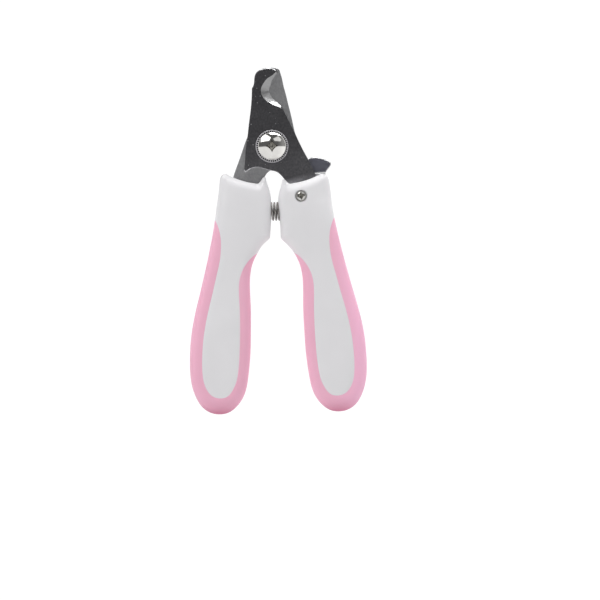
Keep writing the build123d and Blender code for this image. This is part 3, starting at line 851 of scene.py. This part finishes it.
NAMES = {-1: "left", 1: "right"}
for side in (-1, 1):
    nm = NAMES[side]
    body = nm + "_half"
    ob = shell(side, True).object(nm + "_front_shell_skin", [M_WHITE])
    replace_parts(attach(ob, body), nm + "_front_shell")
    ob = shell(side, False).object(nm + "_rear_shell_skin", [M_WHITE] + ([M_LEDGE_SHADE] if side > 0 else []))
    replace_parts(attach(ob, body), nm + "_rear_shell")
    ob = grip(side).object(nm + "_grip_band", [M_PINK])
    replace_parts(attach(ob, body), nm + "_grip")

# ------------------------------------------------------------------ blades
EDGE = [(2.4, 26.6), (1.4, 25.25), (0.6, 24.0), (0.1, 22.5), (-0.5, 21.0),
        (-0.55, 20.2), (-0.1, 18.7), (0.9, 17.3), (2.0, 16.1), (3.7, 14.5)]
BEVEL = [(2.2, 27.1), (0.6, 25.65), (-0.9, 24.75), (-2.4, 23.1), (-3.35, 21.3),
         (-3.5, 19.8), (-2.85, 18.0), (-1.5, 16.5), (0.3, 15.3), (3.5, 13.9)]
BLADE_GAP, BLADE_T = 0.02, 1.8


def turned(pts, deg):
    c, s = math.cos(math.radians(deg)), math.sin(math.radians(deg))
    return [(-x * c - y * s, -x * s + y * c) for x, y in pts]


def blade(loop, edge, bevel_line, rear, holes, mats):
    """front or rear blade. Faces near the outline are a deburred edge, bright only where painted
    highlights fall on it; the strip between bevel line and cutting edge is ground."""
    top = BLADE_GAP + BLADE_T
    land = BLADE_GAP + 0.15
    edge_d = natural(edge, 0.25)
    bev_d = natural(bevel_line, 0.25)
    strip = np.vstack([edge_d, bev_d[::-1]])
    far = distance(loop, edge_d, closed=False) > 0.35
    ch = 0.30

    def zt(p):
        d = distance(p, loop)
        de = distance(p, edge_d, closed=False)
        db = distance(p, bev_d, closed=False)
        ins = inside(p, strip) | (de < 0.02)
        ya = p[:, 1] - (0 if not rear else 0)
        steep = 0.56 + 0.42 * (1 - smooth(15.2, 18.4, ya))
        ground = np.maximum(land, top - steep * db)
        round_off = smooth(0.15, 1.2, de)          # no deburring along the cutting edge
        zc = top - np.maximum(0, ch - d) * 0.8 * round_off
        return np.where(ins, np.minimum(ground, zc), zc)
    rings = np.vstack([inset(loop, ch * 0.5), inset(loop, ch), inset(loop, ch + 0.25)[::2]])
    g = grid_points([loop], 1.1, 0.6)
    extra = np.vstack([rings, g])
    mid = (edge_d + natural(bevel_line, 0.25)[np.linspace(0, len(bev_d) - 1, len(edge_d)).astype(int)]) / 2
    extra = np.vstack([extra, mid])
    extra = extra[inside(extra, loop)]
    extra = extra[(distance(extra, bev_d, closed=False) > 0.12) & (distance(extra, loop) > 0.03)]
    for h in holes:
        extra = extra[~inside(extra, h) & (distance(extra, h) > 0.15)]

    def mt(c):
        ins = inside(c, strip)
        d = distance(c, loop)
        de = distance(c, edge_d, closed=False)
        # painted highlights: the front blade's heel and tip edges get the bright steel, the arc between heel and dome
        # only finely so; the rear blade only along its top
        heel = (c[:, 0] < -8.0) & (c[:, 1] < -7.6) & ~((c[:, 0] < -9.6) & (c[:, 1] > -8.1))
        arc = (c[:, 0] >= -8.0) & (c[:, 0] < 3.6) & (c[:, 1] < -6.5) & (d < ch * 0.3)
        bright = (c[:, 1] > 28.0) if rear else \
            (heel | arc) & (c[:, 1] > -9.7) | (c[:, 1] > 27.3) & (c[:, 0] > -3.5)
        return np.where(ins, 1, np.where((d < ch) & (de > 0.5) & bright, 2, 0))
    bd = Builder()
    cut = inside(bev_d, loop)
    if rear:
        tmp = Builder()
        slab(tmp, [loop] + holes, zt, lambda p: np.full(len(p), BLADE_GAP), extra,
             [(bev_d[cut], False)], mat_top=mt, mat_side=2, flat_bottom=True, bevel=0.04)
        bd.add([(x, y, -h) for x, y, h in tmp.v], [f[::-1] for f in tmp.f], tmp.m)
    else:
        slab(bd, [loop] + holes, zt, lambda p: np.full(len(p), BLADE_GAP), extra,
             [(bev_d[cut], False)], mat_top=mt, mat_side=2, flat_bottom=True, bevel=0.04)
    return bd


f_left = natural([(-10.25, -8.2), (-9.78, -4.0), (-9.55, -1.0), (-9.18, 1.5), (-8.68, 4.5),
                  (-8.25, 7.8), (-7.6, 12.0), (-7.0, 17.0), (-6.75, 21.2)])
f_tip = natural([(-6.75, 21.2), (-6.15, 22.3), (-5.75, 25.0), (-4.9, 27.0), (-3.4, 27.95)], 0.25)
f_top = natural([(-3.4, 27.95), (-2.3, 28.3), (-0.75, 28.42), (0.85, 28.25), (1.95, 27.65),
                 (2.45, 27.1)], 0.25)
f_right = natural([(3.7, 14.5), (4.9, 12.1), (6.8, 8.0), (8.6, 4.2)])
f_flank = natural([(8.6, 4.2), (9.45, 2.2), (10.45, 0.0), (11.4, -2.0), (12.75, -4.6),
                   (13.98, -7.0), (15.05, -9.4), (15.85, -11.8)])
f_tang = [(15.85, -11.8), (16.25, -15.0), (16.3, -20.0), (16.2, -30.0), (15.9, -42.0),
          (14.2, -43.8), (12.6, -42.6), (10.4, -36.0), (8.9, -28.0), (8.5, -20.0),
          (7.7, -17.2), (6.3, -14.6), (4.2, -12.0)]
f_low = natural([(4.2, -12.0), (3.0, -10.5), (1.5, -9.3), (-1.0, -8.6), (-4.0, -7.62),
                 (-5.8, -7.33), (-7.5, -7.68), (-9.0, -8.55)], 0.3)
f_loop = loop_of(f_left, f_tip, f_top, line((2.45, 27.1), EDGE[0], 0.2),
                 natural(EDGE, 0.25), f_right, f_flank, f_tang, f_low,
                 [(-9.4, -8.78), (-9.75, -8.97), (-10.0, -9.05), (-10.18, -8.9), (-10.28, -8.6)])
f_holes = [circle(0, 0, 2.5, 48), circle(LOCK_X, LOCK_Y, 1.35, 24),
           circle(AX + 12.3, -28.5, 2.65, 32), circle(AX + 13.0, -40.0, 1.6, 24)]
ob = blade(f_loop, EDGE, BEVEL, False, f_holes, None).object("front_blade_ground", [M_FRONT, M_GROUND, M_EDGE], 20)
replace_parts(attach(ob, "right_half"), "front_blade")

EDGE2, BEVEL2 = turned(EDGE, 6.0), turned(BEVEL, 6.0)
r_right = natural([(3.45, 27.5), (3.78, 26.3), (4.15, 25.0), (4.7, 22.0), (5.45, 19.0),
                   (6.2, 15.5), (7.0, 12.0), (7.8, 8.0), (8.4, 5.0), (9.15, 2.4),
                   (9.8, 0.0), (10.1, -3.0), (10.5, -5.5), (10.75, -7.6)])
r_low = natural([(9.6, -8.45), (7.6, -7.5), (5.6, -7.05), (3.4, -7.4), (1.0, -8.1),
                 (-1.0, -8.75), (-2.1, -9.6), (-2.9, -10.8)], 0.3)
r_tang = [(-2.9, -10.8), (-4.4, -12.4), (-5.4, -13.8), (-6.6, -15.8), (-7.6, -18.0),
          (-8.0, -20.0), (-8.3, -28.0), (-9.8, -36.0), (-12.0, -42.6), (-13.6, -43.8),
          (-15.3, -42.0), (-15.6, -30.0), (-15.6, -20.0), (-15.3, -14.0), (-14.5, -11.2)]
r_flank = natural([(-14.5, -11.2), (-13.7, -8.8), (-12.6, -6.0), (-11.44, -3.0),
                   (-10.35, 0.0), (-9.3, 2.7), (-8.75, 3.9)])
r_left = natural([(-8.75, 3.9), (-7.55, 7.2), (-6.2, 11.4), EDGE2[-1]])
r_loop = loop_of(r_right, [(10.8, -8.0), (10.7, -8.4), (10.4, -8.6), (10.0, -8.58), (9.6, -8.45)],
                 r_low, r_tang, r_flank, r_left, natural(EDGE2[::-1], 0.25),
                 line(EDGE2[0], (-3.1, 28.3), 0.25),
                 natural([(-3.1, 28.3), (-2.2, 28.55), (-0.7, 28.62), (1.5, 28.55), (2.55, 28.2),
                          (3.2, 27.85), (3.45, 27.5)], 0.25))
r_holes = [circle(0, 0, 2.5, 48), circle(AX - 12.3, -28.5, 2.65, 32), circle(AX - 13.0, -40.0, 1.6, 24)]
ob = blade(r_loop, EDGE2, BEVEL2, True, r_holes, None).object("rear_blade_ground", [M_REAR, M_GROUND, M_EDGE], 20)
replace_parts(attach(ob, "left_half"), "rear_blade")


# ------------------------------------------------------------------ screws
STAR = 0.72                  # how hollow the sides of the cross recess are


def star_size(p, x, y, turn):
    c, sn = math.cos(turn), math.sin(turn)
    q = p - np.array([x, y])
    u, v = np.abs(q[:, 0] * c + q[:, 1] * sn), np.abs(-q[:, 0] * sn + q[:, 1] * c)
    return (u ** STAR + v ** STAR) ** (1 / STAR)


def star_line(x, y, size, turn, n=96):
    a = np.arange(n) * 2 * math.pi / n
    r = size / (np.abs(np.cos(a)) ** STAR + np.abs(np.sin(a)) ** STAR) ** (1 / STAR)
    return np.stack([x + r * np.cos(a + turn), y + r * np.sin(a + turn)], 1)


def star_depth(p, x, y, span, depth, turn):
    "depth of a cross recess below the head's surface: steep flanks, then a conical seat"
    f = star_size(p, x, y, turn)
    r = np.hypot(p[:, 0] - x, p[:, 1] - y)
    wall = np.maximum(0, span - f) * 2.4
    return np.minimum(wall, depth * (0.55 + 0.45 * np.clip(1 - r / (0.55 * span), 0, 1)))


def dome_head(x, y, r, z0, z1, lip, span, depth, turn=0.0, flat=0.0):
    "domed or pan head with a cross recess; front towards +Z"
    rise = z1 - z0 - lip
    rs = (r * r + rise * rise) / (2 * rise)

    def z(p):
        q = np.hypot(p[:, 0] - x, p[:, 1] - y)
        h = z1 - rs + np.sqrt(np.maximum(rs * rs - q * q, 0))
        if flat:
            h = np.minimum(h, z1 - flat)
        edge = np.clip((q - (r - 0.12)) / 0.12, 0, 1)
        h = h - 0.10 * edge ** 2
        f = star_size(p, x, y, turn)
        w = smooth(span * 0.04, span * 0.22, span - f)
        dent = np.sin(p[:, 0] * 5.1 + 1.3 * np.sin(p[:, 1] * 4.3)) * np.cos(p[:, 1] * 4.7 + 1.7 * np.sin(p[:, 0] * 3.9))
        return h - star_depth(p, x, y, span, depth, turn) + 0.15 * w * dent
    n = 96
    pts = [circle(x, y, r - d, n, k * math.pi / n) for k, d in enumerate((0.04, 0.08, 0.12))]
    for k, rr in enumerate(np.arange(r - 0.3, 0.15, -0.2)):
        pts.append(circle(x, y, rr, max(10, int(rr * 2 * math.pi / 0.2)), k * 0.3))
    ip = np.vstack(pts)
    f = star_size(ip, x, y, turn)
    ip = ip[f > span + 0.12]
    gx, gy = np.meshgrid(np.arange(-span, span, 0.13), np.arange(-span, span, 0.13))
    gp = np.stack([x + gx.ravel() + 0.03 * np.sin(gy.ravel() * 40), y + gy.ravel()], 1)
    ip = np.vstack([ip, gp[star_size(gp, x, y, turn) < span - 0.4]])
    lines = [(star_line(x, y, span - d, turn), True) for d in (0.0, 0.14, 0.3)]
    lines.append((star_line(x, y, span + 0.05, turn), True))
    bd = Builder()

    # the recess gets the darker steel: painted shade
    def mt(c):
        return np.where(star_size(c, x, y, turn) < span, 1, 0)
    slab(bd, [circle(x, y, r, n)], z, lambda p: np.full(len(p), z0), ip, lines, mat_top=mt,
         flat_bottom=True, bevel=0.05)
    return bd


def tube(bd, x, y, r, z0, z1, n=40, cap0=True, cap1=True, chamfer=0.0, mat=0):
    "closed round bar with optional end chamfers"
    rows = [(r - chamfer, z0), (r, z0 + chamfer), (r, z1 - chamfer), (r - chamfer, z1)] if chamfer \
        else [(r, z0), (r, z1)]
    v, f = [], []
    for rr, z in rows:
        v += [(cx, cy, z) for cx, cy in circle(x, y, rr, n)]
    for k in range(len(rows) - 1):
        for i in range(n):
            j = (i + 1) % n
            f.append((k * n + i, k * n + j, (k + 1) * n + j, (k + 1) * n + i))
    f.append(tuple(range(n))[::-1])
    f.append(tuple(range((len(rows) - 1) * n, len(rows) * n)))
    bd.add(v, f, mat)


def threads(bd, x, y, r, z0, z1, pitch, depth, n=40, mat=0):
    "screw shank with a real helical thread, closed at both ends"
    rows = int((z1 - z0) / (pitch / 8)) + 1
    v, f = [], []
    for k in range(rows + 1):
        z = z0 + (z1 - z0) * k / rows
        for i in range(n):
            a = 2 * math.pi * i / n
            ph = ((z - z0) / pitch - i / n) % 1.0
            tri = 1 - abs(2 * ph - 1)
            fade = min(1, (z - z0) / pitch, (z1 - z) / pitch)
            rr = r - depth * (1 - tri) * max(0, fade)
            v.append((x + rr * math.cos(a), y + rr * math.sin(a), z))
    for k in range(rows):
        for i in range(n):
            j = (i + 1) % n
            f.append((k * n + i, k * n + j, (k + 1) * n + j, (k + 1) * n + i))
    f.append(tuple(range(n))[::-1])
    f.append(tuple(range(rows * n, (rows + 1) * n)))
    bd.add(v, f, mat)


bd = dome_head(0, 0, 5.12, 2.62, 5.16, 0.36, 2.35, 1.3)
threads(bd, 0, 0, 2.45, -4.9, 2.7, 0.6, 0.12, 48)
ob = bd.object("pivot_screw_dome", [M_CHROME, M_RECESS_SHADE], 40)
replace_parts(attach(ob, "right_half"), "pivot_screw")


def tooth_ring():
    bd = Builder()
    z0, z1 = BLADE_GAP + BLADE_T, 2.60
    n = 240
    out = circle(0, 0, 5.92, n)
    hole = circle(0, 0, 4.2, n)
    ra, rb = 5.03, 5.66
    teeth = 44

    extra = [circle(0, 0, rr, n) for rr in (5.87, 5.82, 5.76, 4.95, 4.6)]
    lines = []
    for k in range(teeth):
        for g, tag in ((0.0, 0), (0.035, 1)):
            a0 = (k + 0.5 - 0.31) / teeth * 2 * math.pi + (g / 5.3)
            a1 = (k + 0.5 + 0.31) / teeth * 2 * math.pi - (g / 5.3)
            r0, r1 = ra + g, rb - g
            q = [(r0 * math.cos(a0), r0 * math.sin(a0)), (r1 * math.cos(a0), r1 * math.sin(a0)),
                 (r1 * math.cos((a0 + a1) / 2), r1 * math.sin((a0 + a1) / 2)),
                 (r1 * math.cos(a1), r1 * math.sin(a1)), (r0 * math.cos(a1), r0 * math.sin(a1)),
                 (r0 * math.cos((a0 + a1) / 2), r0 * math.sin((a0 + a1) / 2))]
            lines.append((np.array(q), True))

    def zz(p):
        r = np.hypot(p[:, 0], p[:, 1])
        a = (np.arctan2(p[:, 1], p[:, 0]) / (2 * math.pi) * teeth) % 1.0
        h = np.full(len(p), z1) - 0.22 * smooth(5.76, 5.92, r)
        g = 0.02
        half = 0.31 - (g / 5.3) * teeth / (2 * math.pi)
        pit = (r > ra + g) & (r < rb - g) & (np.abs(a - 0.5) < half)
        return np.where(pit, z1 - 0.62, h)

    # the pits get the near-black steel: painted shade
    def mt(c):
        r = np.hypot(c[:, 0], c[:, 1])
        a = (np.arctan2(c[:, 1], c[:, 0]) / (2 * math.pi) * teeth) % 1.0
        return np.where((r > ra) & (r < rb) & (np.abs(a - 0.5) < 0.31), 1, 0)
    slab(bd, [out, hole], zz, lambda p: np.full(len(p), z0), np.vstack(extra), lines,
         mat_top=mt, flat_bottom=True, bevel=0.05)
    return bd


ob = tooth_ring().object("pivot_tooth_ring", [M_RING, M_PIT_SHADE], 30)
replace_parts(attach(ob, "right_half"), "pivot_tooth_washer")

# hexagon nut with chamfered corners, seen from the back
bd = Builder()
hexa = loop_of(*[line((4.62 * math.cos(a), 4.62 * math.sin(a)),
                      (4.62 * math.cos(a + math.pi / 3), 4.62 * math.sin(a + math.pi / 3)), 0.35)
                 for a in [k * math.pi / 3 for k in range(6)]])
hole = circle(0, 0, 2.47, 48)
tmp = Builder()


def nut_z(p):
    r = np.hypot(p[:, 0], p[:, 1])
    return 4.75 - np.maximum(0, r - 3.75) * 0.62 - np.maximum(0, 2.85 - r) * 0.7


slab(tmp, [hexa, hole], nut_z, lambda p: np.full(len(p), 2.5),
     np.vstack([circle(0, 0, r, 72) for r in (3.75, 3.6, 3.2, 2.85, 2.7)]),
     flat_bottom=True, bevel=0.08)
bd.add([(x, y, -h) for x, y, h in tmp.v], [f[::-1] for f in tmp.f], tmp.m)
ob = bd.object("pivot_nut_hex", [M_NUT], 25)
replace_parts(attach(ob, "right_half"), "pivot_nut")

# lock screw in the right handle's front
bd = dome_head(LOCK_X, LOCK_Y, 2.0, 3.75, 4.98, 0.55, 1.58, 0.8, turn=0.2, flat=0.04)
threads(bd, LOCK_X, LOCK_Y, 1.1, -4.95, 3.8, 0.45, 0.1, 28)
ob = bd.object("lock_screw_head", [M_SCREW, M_RECESS_SHADE], 40)
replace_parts(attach(ob, "right_half"), "lock_screw")

# self-tapping screws from the back, three a side
for side in (-1, 1):
    bd = Builder()
    for u, y in SCREWS:
        x = AX + side * u
        t = dome_head(x, y, 2.05, 3.65, 5.05, 0.6, 1.5, 0.8, turn=0.35 + y, flat=0.04)
        bd.add([(a, b, -c) for a, b, c in t.v], [f[::-1] for f in t.f], t.m)
        threads(bd, x, y, 1.0, -3.7, 2.6, 0.8, 0.22, 24)
    ob = bd.object(NAMES[side] + "_tapping_screws", [M_SCREW, M_RECESS_SHADE], 40)
    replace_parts(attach(ob, NAMES[side] + "_half"), NAMES[side] + "_shell_screws")

# ------------------------------------------------------------------ return spring
bd = Builder()
half, rs, wr, turns = 6.7, 3.15, 0.32, 14
n, ring = int(turns * 36), 10
sv, sf = [], []
cen, tang = [], []
for i in range(n + 1):
    t = i / n
    a = t * turns * 2 * math.pi
    # the end coils are closed, the middle ones open
    e = 0.11
    if t < e:
        xx = 0.75 * (t / e)
    elif t > 1 - e:
        xx = 2 * half - 0.75 * ((1 - t) / e)
    else:
        xx = 0.75 + (2 * half - 1.5) * (t - e) / (1 - 2 * e)
    cen.append((AX - half + xx, -23.5 + rs * math.cos(a), rs * math.sin(a)))
cen = np.array(cen)
tg = np.gradient(cen, axis=0)
tg /= np.linalg.norm(tg, axis=1)[:, None]
for i in range(n + 1):
    rad = cen[i] - np.array([cen[i][0], -23.5, 0])
    rad /= np.linalg.norm(rad)
    rad -= tg[i] * rad.dot(tg[i])
    rad /= np.linalg.norm(rad)
    bi = np.cross(tg[i], rad)
    for k in range(ring):
        a = 2 * math.pi * k / ring
        sv.append(cen[i] + wr * (math.cos(a) * rad + math.sin(a) * bi))
for i in range(n):
    for k in range(ring):
        j = (k + 1) % ring
        sf.append((i * ring + k, i * ring + j, (i + 1) * ring + j, (i + 1) * ring + k))
sf.append(tuple(range(ring))[::-1])
sf.append(tuple(range(n * ring, (n + 1) * ring)))
bd.add(sv, sf)
ob = bd.object("return_spring_coil", [M_SPRING], 60)
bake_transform(ob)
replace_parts(ob, "return_spring")

# ------------------------------------------------------------------ lock lever
plate = natural([(12.9, -4.95), (13.6, -4.35), (15.0, -4.1), (17.5, -4.45), (19.5, -5.15),
                 (20.95, -6.05)], 0.3)
tipc = natural([(20.95, -6.05), (21.3, -6.7), (21.05, -7.5)], 0.2)
hub = [(LOCK_X + 4.3 * math.cos(a), LOCK_Y + 4.3 * math.sin(a))
       for a in np.radians(np.arange(18, -199, -6.0))]
lv = loop_of(plate, tipc, line((21.05, -7.5), (19.2, -9.75)), line((19.2, -9.75), (15.2, -9.85)),
             line((15.2, -9.85), (13.9, -13.5)), line((13.9, -13.5), hub[0]), hub,
             line(hub[-1], (8.4, -12.6)), line((8.4, -12.6), (10.9, -10.6)),
             line((10.9, -10.6), (10.9, -9.45), 0.3), line((10.9, -9.45), (12.5, -9.45)),
             line((12.5, -9.45), (12.9, -4.95)))
fing = loop_of(line((10.9, -9.45), (12.2, -9.45), 0.3), line((12.2, -9.45), (12.2, -11.0), 0.3),
               line((12.2, -11.0), (10.9, -10.6), 0.3), line((10.9, -10.6), (10.9, -9.45), 0.3))
bd = Builder()
lhole = circle(LOCK_X, LOCK_Y, 2.05, 36)
slab(bd, [lv, lhole], lambda p: -1.95 - np.maximum(0, 0.28 - distance(p, lv)) * 0.8,
     lambda p: -3.30 + np.maximum(0, 0.28 - distance(p, lv)) * 0.8,
     np.vstack([inset(lv, 0.14), inset(lv, 0.28), grid_points([lv, lhole], 1.2, 0.6)]),
     mat_top=lambda c: np.where(distance(c, lv) < 0.28, 1, 0), mat_side=1)
slab(bd, [fing], lambda p: -0.15 - np.maximum(0, 0.12 - distance(p, fing)),
     lambda p: np.full(len(p), -2.1), inset(fing, 0.12), mat_side=1)
ob = bd.object("lock_lever_plate", [M_LEVER, M_EDGE], 25)
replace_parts(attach(ob, "lock"), "lock_lever")

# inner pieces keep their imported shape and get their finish
for node, mat in (("pivot_wave_washer", M_SPRING), ("lock_bushing", M_BUSH),
                  ("lock_disc_spring", M_SPRING), ("lock_insert", M_BRASS)):
    o = frame["nodes"][node]
    o.data.materials.clear()
    o.data.materials.append(mat)

# ------------------------------------------------------------------ stage, light, camera
fl = bpy.data.meshes.new("floor_sheet")
S = 1.6
fl.from_pydata([(-S, -S, -0.0001), (S, -S, -0.0001), (S, S, -0.0001), (-S, S, -0.0001)], [], [(0, 1, 2, 3)])
floor = bpy.data.objects.new("floor_sheet", fl)
bpy.context.scene.collection.objects.link(floor)
m, nt, b = new_mat("floor_white")
soft = noise(nt, coords(nt, (1, 1, 1)), 8.0, 2.0)
nt.links.new(ramp(nt, soft, [(0.3, (0.11, 0.11, 0.11)), (0.7, (0.13, 0.13, 0.13))]), b.inputs["Base Color"])
b.inputs["Roughness"].default_value = 0.9
b.inputs["Specular IOR Level"].default_value = 0.1
b.inputs["Emission Color"].default_value = (1, 1, 1, 1)
b.inputs["Emission Strength"].default_value = 0.96
fl.materials.append(m)

world = bpy.data.worlds.new("studio")
bpy.context.scene.world = world
world.use_nodes = True
wt = world.node_tree
bg = wt.nodes["Background"]
geo = N(wt, "ShaderNodeTexCoord")
sep = N(wt, "ShaderNodeSeparateXYZ")
wt.links.new(geo.outputs["Generated"], sep.inputs[0])
DX, DY, DZ = sep.outputs["X"], sep.outputs["Y"], sep.outputs["Z"]


def w_math(op, a, b):
    n = N(wt, "ShaderNodeMath", operation=op)
    for i, v in ((0, a), (1, b)):
        if isinstance(v, (int, float)):
            n.inputs[i].default_value = v
        else:
            wt.links.new(v, n.inputs[i])
    return n.outputs[0]


# The studio as a polished dome shows it: a broad pale sweep on the near side, a dim band
# where the camera stands, two windows beyond it and a low bright strip at the back.
# u and v are the sky's direction as seen in such a dome.
sky = w_math("ADD", w_math("MAXIMUM", DZ, 0.0), 1.0)
su = w_math("DIVIDE", DX, sky)
sv = w_math("DIVIDE", DY, sky)


def side_of(a, b, c, soft=0.02):
    "1 where a u + b v + c is positive, 0 where it is negative"
    t = w_math("ADD", w_math("ADD", w_math("MULTIPLY", su, a), w_math("MULTIPLY", sv, b)), c)
    return maprange(wt, t, -soft, soft, 0.0, 1.0)


def product(first, *rest):
    for r in rest:
        first = w_math("MULTIPLY", first, r)
    return first


near = product(maprange(wt, sv, -0.02, 0.03, 0.88, 0.0), maprange(wt, sv, -0.85, -0.70, 0.6, 1.0))
window1 = product(side_of(1, 0, 0.72), side_of(0, 1, -0.315), side_of(-1, 0.443, -0.066 - 0.443 * 0.51),
                  side_of(-0.94, -1, 0.51 - 0.94 * 0.066), side_of(0, 0, 1))
window2 = product(side_of(0, 1, -0.29), side_of(1, 0.512, -0.072 - 0.512 * 0.43),
                  side_of(0.667, -1, 0.43 - 0.667 * 0.072), side_of(-1.29, -1, 0.66 + 1.29 * 0.417),
                  side_of(-1.478, 1, -0.267 + 1.478 * 0.475))
strip = product(side_of(0.09, 1, -0.83), maprange(wt, su, -0.14, -0.08, 0.0, 1.0))
low = product(maprange(wt, sv, 0.94, 0.97, 0.0, 1.0), maprange(wt, su, -0.14, -0.08, 1.0, 0.0))
dim = maprange(wt, su, 0.3, 0.7, 0.125, 0.36)
total = w_math("ADD", w_math("ADD", near, w_math("MULTIPLY", window1, 2.9)),
               w_math("ADD", w_math("MULTIPLY", window2, 0.8), w_math("ADD", w_math("ADD", w_math("MULTIPLY", strip, 13.5), w_math("MULTIPLY", low, 5.0)), dim)))
wt.links.new(total, bg.inputs["Strength"])
bg.inputs["Color"].default_value = (1, 1, 1, 1)

cam = bpy.data.cameras.new("camera")
cam.lens = 200.0
cam.sensor_width = 36.0
cam.clip_end = 10.0
co = bpy.data.objects.new("camera", cam)
bpy.context.scene.collection.objects.link(co)
CX, CY = 8.72, -55.85                       # where the view axis meets the tool's plane
target = Vector(ORG + np.array([CX, CY, 0]) * MM)
roll = math.radians(1.45)
upv = Vector((math.sin(roll), math.cos(roll), 0))
zc = Vector((0, 0, 1))
xc = upv.cross(zc).normalized()
rot = Matrix((xc, upv, zc)).transposed().to_4x4()
co.matrix_world = Matrix.Translation(target + zc * (0.001 + 1.2074)) @ rot
bpy.context.scene.camera = co

vs = bpy.context.scene.view_settings
vs.view_transform = "Standard"
vs.look = "None"
vs.exposure = 0.0
